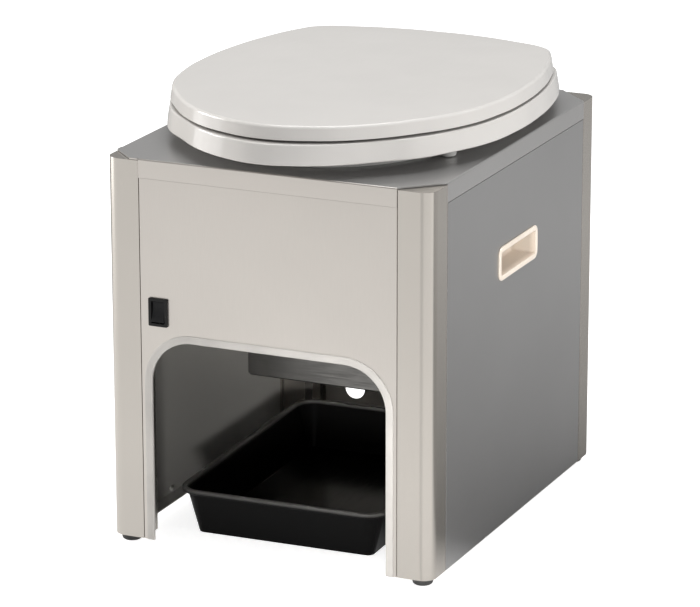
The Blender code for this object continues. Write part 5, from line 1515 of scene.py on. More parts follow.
@dataclass
class Hinge:
    """The line that the seat and the lid turn on, and the knuckles and posts along it."""

    y: float = 0.22635
    z: float = 0.4452
    x: float = 0.098
    post_width: float = 0.016
    barrel: float = 0.005
    knuckle: float = 0.012
    root: float = 0.98

    def arm(self, start: float, end: float, low: float, high: float, reach: float) -> BMesh:
        """Return a knuckle: a round barrel on the hinge line, and the arm that runs forward from it.

        Args:
            start: Where it starts along X.
            end: Where it ends.
            low: The lower level of the arm's far end.
            high: The upper level of that end.
            reach: How far back that end lies.

        Returns:
            The knuckle.
        """
        bm = bmesh.new()
        ring = bmesh.ops.create_circle(bm, cap_ends=True, segments=40, radius=self.barrel)["verts"]
        bmesh.ops.rotate(bm, verts=ring, matrix=Matrix.Rotation(math.pi / 2, 3, "Y"))
        bmesh.ops.translate(bm, verts=ring, vec=(start, self.y, self.z))
        push(bm, bm.faces[:], Vector((end - start, 0.0, 0.0)))
        half = self.barrel * self.root
        points = ((self.y, self.z - half), (reach, low), (reach, high), (self.y, self.z + half))
        add_shape(bm, shape_from([(start, y, z) for y, z in points], (end - start, 0.0, 0.0)))
        ease_sharp(bm, 0.0005)
        return bm

    def build(self) -> None:
        """Build the posts, their pins and bolts."""
        for side in Side:
            EasedNode(side.word + "_hinge_post", ALUMINIUM, 0.0006, 3).build()
            EasedNode(side.word + "_hinge_bolt", STEEL, 0.0004, 3).build()
            EasedNode(side.word + "_hinge_pin", STEEL, 0.0004, 3).build()


@dataclass
class OvalShell:
    """What the seat and the lid share: an edge through a few knots, a hollow underside and knuckles."""

    half_width: float
    length: float
    thickness: float
    wall: float
    draft: float
    foot_ease: float
    shares: tuple[Pair, ...]

    def knots(self, front: float) -> list[Pair]:
        """Return the knots of the edge, mirrored, from the front round to the front."""
        half = [(x * self.half_width, front + y * self.length) for x, y in self.shares]
        return half + [(-x, y) for x, y in reversed(half[1:-1])]

    def raise_shell(self, bm: BMesh, bottom: float) -> None:
        """Push a flat drawing up to a solid and hollow it from below, down to its wall.

        Args:
            bm: The drawing.
            bottom: Its level.
        """
        push(bm, bm.faces[:], UP * self.thickness)
        bmesh.ops.recalc_face_normals(bm, faces=bm.faces[:])
        under = [face for face in bm.faces if lies_at(face, bottom)]
        bmesh.ops.inset_region(bm, faces=under, thickness=self.wall, depth=0.0, use_even_offset=True,
                               use_boundary=True)
        push(bm, under, UP * (self.thickness - self.wall))
        bmesh.ops.recalc_face_normals(bm, faces=bm.faces[:])

    def add_knuckles(self, bm: BMesh, hinge: Hinge, start: float, levels: Pair, reach: float) -> None:
        """Add a knuckle at each side.

        Args:
            bm: The shell.
            hinge: The hinge that they sit on.
            start: Where they start, out from the middle.
            levels: The levels of the arms' far ends.
            reach: How far back those ends lie.
        """
        for side in Side:
            ends = (side.value * start, side.value * (start + hinge.knuckle))
            add_shape(bm, hinge.arm(*ends, *levels, reach))


@dataclass
class SeatShell(OvalShell):
    """The ring seat: a glossy hollow shell with sides that lean inwards and an oval hole."""

    half_width: float = 0.1838
    length: float = 0.449
    thickness: float = 0.0208
    wall: float = 0.0035
    draft: float = 0.0037
    foot_ease: float = 0.0006
    shares: tuple[Pair, ...] = (
        (0.0, 0.0), (0.158, 0.011), (0.413, 0.062), (0.62, 0.138), (0.745, 0.189), (0.848, 0.263),
        (0.957, 0.372), (1.0, 0.499), (0.995, 0.641), (0.951, 0.777), (0.885, 0.88), (0.80, 0.952),
        (0.68, 0.988), (0.40, 1.0), (0.0, 1.0),
    )
    top_round: float = 0.0015
    foot_round: float = 0.0020
    inner_round: float = 0.010
    rim_share: float = 1.18
    arm_low: float = 0.012
    arm_high: float = 0.006
    arm_reach: float = 0.197

    def build(self, hinge: Hinge) -> None:
        """Build the seat with its two knuckles.

        Args:
            hinge: The hinge that it turns on.
        """
        low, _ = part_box("seat_ring")
        bottom = low[2]
        top = bottom + self.thickness
        bm = bmesh.new()
        outer = smooth_loop(bm, self.knots(low[1]), bottom, 6)
        inner = oval_loop(bm, BOWL, (0.0, BOWL_Y), bottom, len(outer))
        bmesh.ops.bridge_loops(bm, edges=outer + inner)
        self.raise_shell(bm, bottom)
        outside, inside = [], []
        for edge in rim_edges(bm, top):
            (outside if self.outside(edge) else inside).append(edge)
        draw_in(outside, self.draft)
        draw_in([edge for edge in rim_edges(bm, top - self.wall) if self.outside(edge)], self.draft)
        round_edges(bm, outside, self.top_round, 5)
        round_edges(bm, inside, self.inner_round, 10)
        round_edges(bm, outer, self.foot_round, 6)
        round_edges(bm, rim_edges(bm, bottom), self.foot_ease, 2)
        start = hinge.x + hinge.post_width / 2 + HAIR
        self.add_knuckles(bm, hinge, start, (hinge.z - self.arm_low, top - self.arm_high), self.arm_reach)
        set_piece("seat_shell", bm, IVORY, "seat", ("seat_ring",))

    def outside(self, edge: BMEdge) -> bool:
        """Return whether an edge lies near the seat's outer edge, not round its hole."""
        middle = (edge.verts[0].co + edge.verts[1].co) / 2
        return math.hypot(middle.x / BOWL[0], (middle.y - BOWL_Y) / BOWL[1]) > self.rim_share


@dataclass
class LidShell(OvalShell):
    """The lid: a shallow shell with a slight crown, sides that lean inwards and a hollow underside."""

    half_width: float = 0.1798
    length: float = 0.453
    thickness: float = 0.0142
    wall: float = 0.003
    draft: float = 0.0023
    foot_ease: float = 0.0005
    shares: tuple[Pair, ...] = (
        (0.0, 0.0), (0.282, 0.026), (0.503, 0.077), (0.74, 0.179), (0.90, 0.285), (0.978, 0.406),
        (1.0, 0.521), (0.972, 0.675), (0.92, 0.777), (0.83, 0.884), (0.745, 0.938), (0.50, 0.976),
        (0.14, 1.0), (0.0, 1.0),
    )
    edge_round: float = 0.003
    crown: float = 0.0018
    crown_steps: tuple[Pair, ...] = ((0.94, 0.20), (0.84, 0.46), (0.68, 0.74), (0.48, 0.92), (0.24, 1.0))
    arm_low: float = 0.0015
    arm_high: float = 0.010
    arm_reach: float = 0.204

    def build(self, hinge: Hinge) -> None:
        """Build the lid with its two knuckles.

        Args:
            hinge: The hinge that it turns on.
        """
        low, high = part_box("seat_lid")
        bottom = high[2] - self.crown - self.thickness
        top, front = bottom + self.thickness, low[1]
        bm = bmesh.new()
        bmesh.ops.contextual_create(bm, geom=smooth_loop(bm, self.knots(front), bottom, 7))
        self.raise_shell(bm, bottom)
        edge = rim_edges(bm, top)
        draw_in(edge, self.draft)
        draw_in(rim_edges(bm, top - self.wall), self.draft)
        round_edges(bm, edge, self.edge_round, 8)
        self.raise_crown(bm, front + self.length / 2, top)
        round_edges(bm, rim_edges(bm, bottom), self.foot_ease, 2)
        start = hinge.x - hinge.post_width / 2 - HAIR - hinge.knuckle
        self.add_knuckles(bm, hinge, start, (hinge.z + self.arm_low, hinge.z + self.arm_high),
                          self.arm_reach)
        set_piece("lid_shell", bm, IVORY, "lid", ("seat_lid",))

    def raise_crown(self, bm: BMesh, middle: float, level: float) -> None:
        """Replace the flat top by rings that rise gently towards the middle.

        Args:
            bm: The lid.
            middle: How far back the crown's middle lies.
            level: The level of the flat top.
        """
        flat = next(face for face in bm.faces if lies_at(face, level))
        edges = flat.edges[:]
        bmesh.ops.delete(bm, geom=[flat], context="FACES_ONLY")
        centre = Matrix.Translation((0.0, middle, 0.0))
        share, rise = 1.0, 0.0
        for next_share, next_rise in self.crown_steps:
            ratio = next_share / share
            lift = Matrix.Translation(UP * ((next_rise - rise) * self.crown))
            shrink = centre @ Matrix.Diagonal((ratio, ratio, 1.0, 1.0)) @ centre.inverted()
            edges = trail(bm, edges, lift @ shrink)
            share, rise = next_share, next_rise
        bmesh.ops.contextual_create(bm, geom=edges)


@dataclass
class Buffers:
    """The white pads that the seat and the lid rest on."""

    seat_radius: float = 0.009
    lid_radius: float = 0.006
    seat_shelf: float = 0.0134
    sides: tuple[Pair, ...] = ((0.72, 0.0), (0.92, 0.06), (1.0, 0.2), (0.96, 0.55), (0.98, 0.94),
                               (0.9, 1.0))
    neck: float = 0.004

    def build(self) -> None:
        """Build the four pads under the seat and the two under the lid."""
        for corner in CORNERS.values():
            self.pad("seat_buffer_" + corner, "seat", self.seat_radius)
        for side in Side:
            self.pad(side.word + "_lid_buffer", "lid", self.lid_radius)

    def pad(self, node: str, body: str, radius: float) -> None:
        """Build one pad with a waisted side and a domed foot, inside its node's box.

        Args:
            node: The node that it stands for.
            body: The body that it rides on.
            radius: Its radius.
        """
        low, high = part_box(node)
        centre = centre_of(node)
        height = high[2] - low[2]
        shelf = height if body == "lid" else self.seat_shelf
        profile = [(0.0, 0.0), *[(radius * share, shelf * level) for share, level in self.sides]]
        if body == "seat":
            profile += [(self.neck, shelf), (self.neck - 0.0002, height - 0.001),
                        (self.neck - 0.001, height)]
        profile.append((0.0, profile[-1][1]))
        bm = turned(profile, (centre.x, centre.y, low[2]), Axis.Z, 40)
        set_piece("soft_" + node, bm, WHITE_MOULD, body, (node,))


@dataclass
class OvalLoft:
    """A ring round the bowl whose section is the same all the way: funnel, clamp ring or cassette."""

    name: str
    node: str
    finish: Finish
    rings: Sequence[Oval]
    segments: int = 120

    def build(self) -> None:
        """Build the ring, drawn as one oval that is extruded and stretched from ring to ring."""
        bm = bmesh.new()
        width, length, middle, level = self.rings[0]
        edges = oval_loop(bm, (width, length), (0.0, middle), level, self.segments)
        for ring in [*self.rings[1:], self.rings[0]]:
            move = Matrix.Translation((0.0, ring[2], ring[3]))
            stretch = Matrix.Diagonal((ring[0] / width, ring[1] / length, 1.0, 1.0))
            edges = trail(bm, edges, move @ stretch @ Matrix.Translation((0.0, -middle, -level)))
            width, length, middle, level = ring
        bmesh.ops.remove_doubles(bm, verts=bm.verts[:], dist=MERGE)
        set_piece(self.name, bm, self.finish, "cabinet", (self.node,))


@dataclass
class FilmBowl:
    """The funnel that the film lines, the ring that clamps it, and the cassette that feeds it."""

    throat_y: float = 0.01427
    wall: float = 0.0025
    brim: float = 0.0176
    shoulder: float = 0.018
    waist: float = 0.09
    throat: float = 0.166
    clamp: Pair = (0.002, 0.016)
    clamp_height: float = 0.0055
    cassette: Pair = (0.0155, 0.0365)
    cassette_levels: Pair = (0.3505, 0.3845)
    cassette_wall: float = 0.0018

    def ring(self, margin: float, level: float) -> Oval:
        """Return an oval round the bowl's opening, set out by a margin."""
        return (BOWL[0] + margin, BOWL[1] + margin, BOWL_Y, level)

    def build(self) -> None:
        """Build the three pieces."""
        top = BOX.top + HAIR + self.wall
        OvalLoft("film_funnel", "bowl_funnel", WHITE_MOULD, self.funnel_rings(top)).build()
        OvalLoft("clamp_ring", "film_clamp_ring", DARK_CASE, self.clamp_rings(top + HAIR)).build()
        OvalLoft("cassette_channel", "film_cassette", WHITE_MOULD, self.cassette_rings()).build()

    def funnel_rings(self, top: float) -> list[Oval]:
        """Return the funnel's section, down its inner face and up its outer one.

        Args:
            top: The level of its brim.

        Returns:
            The section's ovals.
        """
        wall, under = self.wall, top - self.wall
        shoulder, waist = top - self.shoulder, top - self.waist
        waist_y = (BOWL_Y + self.throat_y) / 2
        slope = [(0.1065, 0.1240, BOWL_Y * 0.9 + waist_y * 0.1, shoulder - 0.014),
                 (0.0985, 0.1010, BOWL_Y * 0.5 + waist_y * 0.5, shoulder - 0.042),
                 (0.090, 0.080, waist_y, waist),
                 (0.0785, 0.047, self.throat_y * 0.55 + waist_y * 0.45, waist - 0.038),
                 (0.068, 0.018, self.throat_y, top - self.throat)]
        outer = [(width + wall, length + wall, y, level) for width, length, y, level in reversed(slope)]
        return [self.ring(self.brim, top), self.ring(0.0006, top), self.ring(-0.0006, top - 0.0006),
                self.ring(-wall, shoulder), *slope, *outer, self.ring(0.0, shoulder),
                self.ring(wall, under),
                self.ring(self.brim, under), self.ring(self.brim + 0.0004, under + wall / 2)]

    def clamp_rings(self, low: float) -> list[Oval]:
        """Return the clamp ring's section.

        Args:
            low: The level of its foot.

        Returns:
            The section's ovals.
        """
        near, far = self.clamp
        high = low + self.clamp_height
        return [self.ring(near, low), self.ring(near, high - 0.0018),
                self.ring(near + 0.0006, high - 0.0005),
                self.ring(near + 0.002, high), self.ring(far - 0.002, high),
                self.ring(far - 0.0006, high - 0.0005), self.ring(far, high - 0.0018),
                self.ring(far, low)]

    def cassette_rings(self) -> list[Oval]:
        """Return the cassette's section, an open channel.

        Returns:
            The section's ovals.
        """
        (near, far), (floor, brim), thin = self.cassette, self.cassette_levels, self.cassette_wall
        pairs = ((far - 0.001, floor), (far, floor + 0.001), (far, brim - 0.0004), (far - 0.0004, brim),
                 (far - thin, brim), (far - thin, floor + thin), (near + thin, floor + thin),
                 (near + thin, brim), (near + 0.0004, brim), (near, brim - 0.0004), (near, floor + 0.001),
                 (near + 0.001, floor))
        return [self.ring(margin, level) for margin, level in pairs]


@dataclass
class CatchTray:
    """The loose black tray: thin flared walls, round corners and a rolled rim."""

    size: Pair = (0.195, 0.295)
    height: float = 0.051
    wall: float = 0.0014
    flare: float = 0.0175
    corner: float = 0.008
    least_corner: float = 0.003
    edge: float = 0.0012
    roll: float = 0.003
    roll_steps: range = range(-115, 171, 19)
    turn: float = math.radians(1.5)

    def build(self) -> None:
        """Build the tray, lofted through rounded rectangles from its base over its rim to its floor."""
        wall, edge, roll, height, flare = self.wall, self.edge, self.roll, self.height, self.flare
        axis = flare - roll
        rim = [(axis + roll * math.cos(angle), height - roll + roll * math.sin(angle))
               for angle in (math.radians(step) for step in self.roll_steps)]
        inner = axis - roll - wall
        levels = [(-edge, 0.0), (-edge * 0.3, edge * 0.3), (0.0, edge),
                  (flare - roll * 2, height - roll * 2),
                  *rim, (inner + 0.0004, height - roll * 1.6), (inner - 0.0006, height - roll * 2.6),
                  (-wall, edge + wall), (-wall - edge * 0.3, wall + edge * 0.3), (-wall - edge, wall)]
        bm = rounded_loft(self.size, self.corner, levels, self.least_corner)
        centre = centre_of("receiving_tray")
        place = Matrix.Translation((centre.x, centre.y, 0.0)) @ Matrix.Rotation(self.turn, 4, "Z")
        set_piece("rolled_rim_tray", bm, BLACK_GLOSS, "tray", ("receiving_tray",), place)


@dataclass
class SealUnit:
    """The heat-sealing unit under the funnel: cover, rails, plates, bars, screws, motor and rollers."""

    half: float = 0.1035
    cover: float = 0.0012
    lip: float = 0.010
    chamfer: float = 0.003
    low: float = 0.138
    high: float = 0.232
    rod_x: float = 0.086
    screw_z: float = 0.190
    guide_z: float = 0.164
    rod_radius: float = 0.004
    thread_depth: float = 0.0006
    thread_lead: float = 0.008
    thread_starts: int = 4
    thread_steps: int = 20
    pulley: Pair = (0.0683, 0.0763)
    flange_radius: float = 0.0125
    belt_radius: float = 0.010
    motor_z: float = 0.178
    motor_radius: float = 0.018
    motor_plate: float = 0.0811
    shaft_radius: float = 0.0025
    boss_radius: float = 0.006
    boss: float = 0.003
    feed_radius: float = 0.012
    roller_radius: float = 0.007
    roller_half: float = 0.088
    roller_edge: float = 0.001
    axle_radius: float = 0.003
    roller_pitch: float = 0.015

    def build(self) -> None:
        """Build every piece of the unit."""
        self.build_cover()
        for node in ("seal_rail_front", "seal_rail_rear"):
            EasedNode(node, RAIL_STEEL, 0.0004).build()
        for node in ("seal_side_plate_left", "seal_side_plate_right", "seal_rear_plate"):
            EasedNode(node, RAIL_STEEL, 0.0003).build()
        EasedNode("fixed_seal_bar", ALUMINIUM, 0.0005).build()
        EasedNode("moving_seal_bar", ALUMINIUM, 0.0005, body="seal_bar").build()
        EasedNode("seal_pad", RED_SILICONE, 0.0006, 3).build()
        EasedNode("heater_strip", HEATER_TAPE, 0.0004, body="seal_bar").build()
        EasedNode("drive_belt", RUBBER, 0.0003, 1).build()
        for side in Side:
            self.build_rod(side)
            self.build_screw(side)
        self.build_seal_motor()
        EasedNode("motor_pulley", ALUMINIUM, 0.0002, 2, "pulley", math.radians(40)).build()
        self.build_feed_motor()
        self.build_roller("feed_roller_drive", "drive_roller")
        self.build_roller("feed_roller_idler", "idler_roller")

    def build_cover(self) -> None:
        """Build the folded brushed sheet in front of the unit, with cut lower corners."""
        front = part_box("seal_cover")[0][1]
        thick, low, high = self.cover, self.low, self.high
        bm = bmesh.new()
        outline = polygon(bm, [(-self.half, y, z) for y, z in (
            (front, low), (front + self.lip, low), (front + self.lip, low + thick),
            (front + thick, low + thick), (front + thick, high), (front, high))])
        lower = [vert for vert in outline.verts if vert.co.z < high - thick]
        bend = [vert for vert in lower if abs(vert.co.y - front) < MERGE]
        inside = [vert for vert in lower if abs(vert.co.y - front - thick) < MERGE]
        round_vertices(bm, bend, thick * 1.4, 6)
        round_vertices(bm, inside, thick * 0.4, 4)
        push(bm, bm.faces[:], Vector((self.half * 2, 0.0, 0.0)))
        for side in Side:
            bmesh.ops.bisect_plane(bm, geom=bm.verts[:] + bm.edges[:] + bm.faces[:], dist=MERGE,
                                   plane_co=(side.value * (self.half - self.chamfer), 0.0, low),
                                   plane_no=(side.value, 0.0, -1.0), clear_outer=True)
            bmesh.ops.holes_fill(bm, edges=open_edges(bm), sides=0)
        bmesh.ops.recalc_face_normals(bm, faces=bm.faces[:])
        ease_sharp(bm, 0.0002, angle=STEEP)
        set_piece("brushed_cover", bm, COVER_STEEL, "cabinet", ("seal_cover",))

    def build_rod(self, side: Side) -> None:
        """Build one guide rod.

        Args:
            side: Which side.
        """
        node = side.word + "_guide_rod"
        low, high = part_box(node)
        radius, ease = self.rod_radius, 0.0005
        profile = ((0.0, low[1]), (radius - ease, low[1]), (radius, low[1] + ease),
                   (radius, high[1] - ease),
                   (radius - ease, high[1]), (0.0, high[1]))
        bm = turned(profile, (side.value * self.rod_x, 0.0, self.guide_z), Axis.Y)
        set_piece("ground_" + side.word + "_rod", bm, STEEL, "cabinet", (node,))

    def build_screw(self, side: Side) -> None:
        """Build one lead screw: a core, its thread in several starts, and its flanged pulley.

        Args:
            side: Which side.
        """
        node = side.word + "_lead_screw"
        low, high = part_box(node)
        centre = Vector((side.value * self.rod_x, 0.0, self.screw_z))
        radius, core = self.rod_radius, self.rod_radius - self.thread_depth
        near, far = self.pulley
        flange, belt = self.flange_radius, self.belt_radius
        profile = ((0.0, low[1]), (core, low[1]), (core, near), (flange, near), (flange, near + 0.001),
                   (belt, near + 0.0014), (belt, far - 0.0014), (flange, far - 0.001), (flange, far),
                   (radius, far), (radius, high[1] - 0.0004), (radius - 0.0004, high[1]), (0.0, high[1]))
        bm = turned(profile, centre, Axis.Y)
        turns = (near - low[1] - 0.002) / self.thread_lead
        steps = int(turns * self.thread_steps)
        for start in range(self.thread_starts):
            offset = low[1] + 0.001 + start * self.thread_lead / self.thread_starts
            reach = turns - start / self.thread_starts
            add_shape(bm, self.thread(core, centre, offset, reach, int(steps * reach / turns)))
        set_piece("threaded_" + side.word + "_screw", bm, STEEL, side.word + "_screw", (node,))

    def thread(self, core: float, centre: Vector, offset: float, reach: float, count: int) -> BMesh:
        """Return one start of a screw's thread.

        Args:
            core: The radius of the screw's core.
            centre: A point of the screw's axis.
            offset: Where the thread starts along the axis.
            reach: How many turns it has.
            count: In how many steps.

        Returns:
            The thread.
        """
        root, crest = core - 0.0002, self.rod_radius
        bm = bmesh.new()
        section = polygon(bm, ((root, offset - 0.0006, 0.0), (crest, offset - 0.00025, 0.0),
                               (crest, offset + 0.00025, 0.0), (root, offset + 0.0006, 0.0)))
        geom = [section, *section.edges, *section.verts]
        bmesh.ops.spin(bm, geom=geom, cent=(0.0, 0.0, 0.0), axis=Axis.Y.line,
                       dvec=(0.0, reach * self.thread_lead / count, 0.0), angle=math.tau * reach,
                       steps=count,
                       use_merge=False)
        bmesh.ops.translate(bm, verts=bm.verts[:], vec=centre)
        return bm

    def build_seal_motor(self) -> None:
        """Build the seal motor: shaft, plate, grooved body and rear boss."""
        low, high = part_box("seal_motor")
        body, plate = self.motor_radius, self.motor_plate
        shaft, boss = self.shaft_radius, self.boss_radius
        end = high[1] - self.boss
        profile = ((0.0, low[1]), (shaft - 0.0004, low[1]), (shaft, low[1] + 0.0004), (shaft, plate),
                   (body - 0.001, plate), (body, plate + 0.001), *groove(body, plate + 0.012, 0.0006),
                   *groove(body, end - 0.010, 0.0006), (body, end - 0.0012), (body - 0.0012, end),
                   (boss, end), (boss, high[1] - 0.0006), (boss - 0.0006, high[1]), (0.0, high[1]))
        bm = turned(profile, (0.0, 0.0, self.motor_z), Axis.Y, 56)
        set_piece("finned_seal_motor", bm, DARK_PAINT, "cabinet", ("seal_motor",))

    def build_feed_motor(self) -> None:
        """Build the feed motor with one groove round it."""
        low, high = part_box("feed_motor")
        start, stop, radius = low[0], high[0], self.feed_radius
        profile = ((0.0, start), (radius - 0.0008, start), (radius, start + 0.0008),
                   *groove(radius, start + 0.006, 0.0005), (radius, stop - 0.001), (radius - 0.001, stop),
                   (0.0, stop))
        centre = centre_of("feed_motor")
        bm = turned(profile, (0.0, centre.y, centre.z), Axis.X)
        set_piece("finned_feed_motor", bm, DARK_PAINT, "cabinet", ("feed_motor",))

    def build_roller(self, node: str, body: str) -> None:
        """Build a feed roller with shallow grooves round its rubber.

        Args:
            node: The node that it stands for.
            body: The body that it rides on.
        """
        half, reach = self.roller_half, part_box(node)[1][0]
        radius, axle, edge = self.roller_radius, self.axle_radius, self.roller_edge
        profile = [(0.0, -reach), (axle - 0.0004, -reach), (axle, -reach + 0.0004), (axle, -half),
                   (radius - edge, -half), (radius, -half + edge)]
        for step in range(-5, 6):
            profile += groove(radius, step * self.roller_pitch - 0.0008, 0.0004, 0.0016, 0.0004)
        profile += [(radius, half - edge), (radius - edge, half), (axle, half), (axle, reach - 0.0004),
                    (axle - 0.0004, reach), (0.0, reach)]
        centre = centre_of(node)
        bm = turned(profile, (0.0, centre.y, centre.z), Axis.X, 40)
        set_piece("grooved_" + node, bm, RUBBER, body, (node,))


@dataclass
class ElectricParts:
    """The control box with its board, and the power inlet in the back."""

    box_ease: float = 0.0006
    board_ease: float = 0.0002
    inlet_ease: float = 0.0003

    def build(self) -> None:
        """Build the three pieces."""
        EasedNode("control_box", DARK_CASE, self.box_ease).build()
        EasedNode("control_board", BOARD_GREEN, self.board_ease, 1).build()
        EasedNode("power_inlet", SWITCH_BLACK, self.inlet_ease).build()


@dataclass(frozen=True)
class SoftLight:
    """An oblong area light that points at a target, and that glossy surfaces may mirror."""

    name: str
    place: Sequence[float]
    target: Sequence[float]
    size: Pair
    power: float
    colour: Colour = (1.0, 1.0, 1.0)
    mirrored: bool = True
    spread: float = math.pi

    def hang(self) -> None:
        """Hang the light."""
        data = bpy.data.lights.new(self.name, "AREA")
        data.shape = "RECTANGLE"
        data.size, data.size_y = self.size
        data.energy = self.power
        data.color = self.colour
        data.spread = self.spread
        light = bpy.data.objects.new(self.name, data)
        light.visible_glossy = self.mirrored
        light.location = self.place
        way = Vector(self.target) - Vector(self.place)
        light.rotation_euler = way.to_track_quat("-Z", "Y").to_euler()
        bpy.context.scene.collection.objects.link(light)


@dataclass
class Sweep:
    """The pale floor, whose mirror image in the metal is a tone of its own, lit in part."""

    size: float = 12.0
    colour: Colour = (0.8, 0.8, 0.8)
    roughness: float = 0.9
    tone: float = 0.74
    mirrored_tone: float = 0.16
    camera_lift: float = 0.85
    sheen: float = 0.82
    back_sheen: float = 0.34
    right_reach: Pair = (-0.2, -0.15)
    behind_reach: Pair = (-0.215, -0.06)
    front_reach: Pair = (-0.35, -0.1)
    back_way: Sequence[float] = (0.41, 0.91, 0.0)
    back_reach: Pair = (0.1, 1.2)
    wedge_place: Pair = (-0.17, -0.215)
    wedge_turn: float = 0.06
    wedge_reach: Pair = (0.12, 0.3)
    wedge_share: float = 0.72

    def build(self) -> None:
        """Lay the floor: near-white, a little lifted for the camera as an overexposed sweep is."""
        bm = bmesh.new()
        bmesh.ops.create_grid(bm, x_segments=1, y_segments=1, size=self.size / 2)
        mesh = bpy.data.meshes.new("floor")
        bm.to_mesh(mesh)
        bm.free()
        mesh.materials.append(self.material())
        floor = bpy.data.objects.new("floor", mesh)
        bpy.context.scene.collection.objects.link(floor)

    def material(self) -> bpy.types.Material:
        """Return the floor's material.

        Returns:
            A matt pale surface that shines a little for the camera and in part for glossy surfaces.
        """
        graph = MaterialGraph("white_sweep", self.colour, self.roughness, 0.0)
        graph.drive("Emission Color", (1.0, 1.0, 1.0, 1.0))
        path = graph.tree.nodes.new("ShaderNodeLightPath").outputs
        glossy, camera = path["Is Glossy Ray"], path["Is Camera Ray"]
        graph.drive("Base Color", graph.ranged(glossy, self.tone, self.mirrored_tone, 0.0, 1.0))
        sheen = graph.combined(glossy, self.mirror_image(graph), "MULTIPLY")
        lifted = graph.combined(camera, self.camera_lift, "MULTIPLY")
        graph.drive("Emission Strength", graph.combined(lifted, sheen, "ADD"))
        return graph.material

    def mirror_image(self, graph: MaterialGraph) -> Socket:
        """Return how brightly each place of the floor shows in the metal.

        Args:
            graph: The floor's nodes.

        Returns:
            The brightness: most in front and at the left, less to the rear right, faint far behind.
        """
        # Painted reflection: for glossy rays the floor glows by place, brightest in front and at the
        # left, with painted shade to the rear right and on a wedge, and a faint glow far behind.
        right = graph.ranged(graph.along((1.0, 0.0, 0.0)), 0.0, 1.0, *self.right_reach)
        behind = graph.ranged(graph.along((0.0, 1.0, 0.0)), 0.0, -self.sheen, *self.behind_reach)
        near = graph.combined(self.sheen, graph.combined(right, behind, "MULTIPLY"), "ADD")
        front = graph.ranged(graph.along((0.0, -1.0, 0.0)), 0.0, 1.0, *self.front_reach)
        lit = graph.combined(graph.combined(near, front, "MULTIPLY"), self.wedge(graph), "MULTIPLY")
        back = graph.ranged(graph.along(self.back_way), 0.0, self.back_sheen, *self.back_reach)
        return graph.combined(lit, back, "ADD")

    def wedge(self, graph: MaterialGraph) -> Socket:
        """Return a factor that is lower on a wedge of the floor, which a front post's rounding mirrors as
        a painted dark stripe.

        Args:
            graph: The floor's nodes.

        Returns:
            The factor.
        """
        across = graph.combined(graph.position(Axis.X), self.wedge_place[0], "ADD")
        ahead = graph.combined(self.wedge_place[1], graph.position(Axis.Y), "SUBTRACT")
        angle = graph.combined(across, ahead, "ARCTAN2")
        off = graph.combined(graph.combined(angle, self.wedge_turn, "ADD"), 0.0, "ABSOLUTE")
        return graph.ranged(off, self.wedge_share, 1.0, *self.wedge_reach)


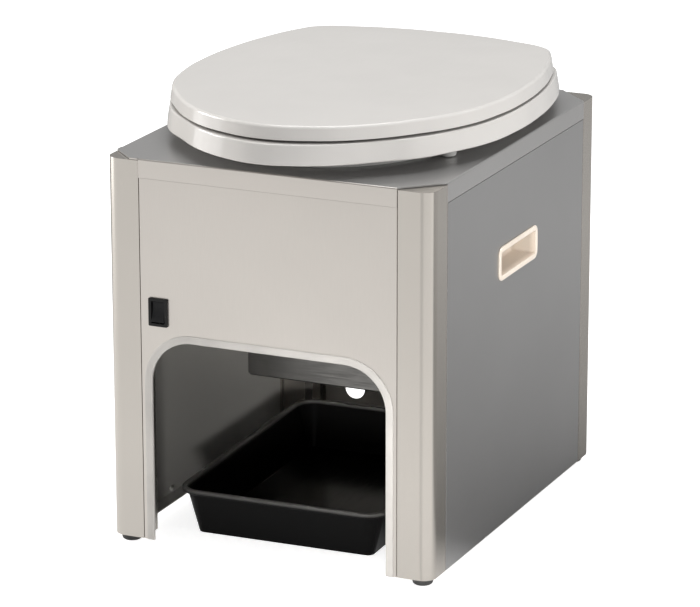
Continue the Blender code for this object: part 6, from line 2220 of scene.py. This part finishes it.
@dataclass
class Studio:
    """A pale floor, soft lights and the camera that stands where the photographer stood."""

    place: tuple[float, float, float] = (1.59633, -3.57214, 1.38754)
    azimuth: float = 0.42135
    elevation: float = 0.29063
    roll: float = -0.001163
    lens: float = 202.25
    sensor: float = 36.0
    clip: Pair = (0.05, 60.0)
    ambient: float = 0.32
    lights: tuple[SoftLight, ...] = (
        SoftLight("key_softbox", (-3.25, -0.5, 1.4), (0.0, 0.0, 0.25), (1.6, 1.6), 86.0,
                  (1.0, 0.975, 0.945)),
        SoftLight("top_softbox", (0.0, 0.2, 2.3), (0.0, 0.0, 0.3), (1.5, 1.5), 25.5),
        SoftLight("right_softbox", (2.9, -0.45, 1.2), (0.0, 0.0, 0.25), (1.2, 1.5), 48.0,
                  (1.0, 0.99, 0.98),
                  False),
        SoftLight("low_fill", (0.8, -2.2, 0.22), (0.0, 0.2, 0.10), (0.3, 0.2), 0.44, (1.0, 0.99, 0.97),
                  False,
                  math.radians(16)),
        SoftLight("window", (-1.62, -0.36, 0.25), (-0.13, -0.15, 0.25), (1.0, 0.5), 2.2),
    )

    def build(self) -> None:
        """Build the camera, the floor, the surroundings and the lights."""
        self.build_camera()
        Sweep().build()
        self.build_world()
        for light in self.lights:
            light.hang()
        bpy.context.scene.view_settings.view_transform = "Standard"

    def build_camera(self) -> None:
        """Set the camera."""
        data = bpy.data.cameras.new("photo_camera")
        data.lens = self.lens
        data.sensor_width = self.sensor
        data.sensor_fit = "HORIZONTAL"
        data.clip_start, data.clip_end = self.clip
        level = math.cos(self.elevation)
        forward = Vector((-math.sin(self.azimuth) * level, math.cos(self.azimuth) * level,
                          -math.sin(self.elevation)))
        right = forward.cross(UP).normalized()
        up = right.cross(forward)
        across = right * math.cos(self.roll) + up * math.sin(self.roll)
        over = up * math.cos(self.roll) - right * math.sin(self.roll)
        camera = bpy.data.objects.new("photo_camera", data)
        turn = Matrix((across, over, -forward)).transposed().to_4x4()
        camera.matrix_world = Matrix.Translation(self.place) @ turn
        bpy.context.scene.collection.objects.link(camera)
        bpy.context.scene.camera = camera

    def build_world(self) -> None:
        """Set the surroundings: white to the camera, a dim even grey to everything else."""
        world = bpy.data.worlds.new("studio")
        world.use_nodes = True
        tree = world.node_tree
        background = tree.nodes["Background"]
        background.inputs["Color"].default_value = (1.0, 1.0, 1.0, 1.0)
        path = tree.nodes.new("ShaderNodeLightPath")
        strength = tree.nodes.new("ShaderNodeMapRange")
        strength.inputs["To Min"].default_value = self.ambient
        strength.inputs["To Max"].default_value = 1.0
        tree.links.new(path.outputs["Is Camera Ray"], strength.inputs["Value"])
        tree.links.new(strength.outputs["Result"], background.inputs["Strength"])
        bpy.context.scene.world = world


def main() -> None:
    """Build the toilet's pieces and the studio."""
    logging.basicConfig(level=logging.INFO, format="%(name)s: %(message)s")
    for signs in CORNERS:
        post = CornerPost(signs)
        post.build()
        post.build_foot()
    TopPlate().build()
    PanelSet().build()
    ArchEdging().build()
    grip = RimmedCup(size=(0.1045, 0.0355), rim=0.0055, radius=0.0085, proud=0.0018, depth=0.026,
                     wall=0.002, ease=0.0009, floor_ease=0.003)
    SideGrips(grip).build()
    bezel = RimmedCup(size=(0.0212, 0.0293), rim=0.0032, radius=0.0014, proud=0.0022, depth=0.0166,
                      wall=0.0011, ease=0.0004, floor_ease=0.0006)
    PowerSwitch(bezel).build()
    hinge = Hinge()
    hinge.build()
    SeatShell().build(hinge)
    LidShell().build(hinge)
    Buffers().build()
    FilmBowl().build()
    SealUnit().build()
    ElectricParts().build()
    CatchTray().build()
    weigh_normals()
    Studio().build()


if __name__ == "__main__":
    main()
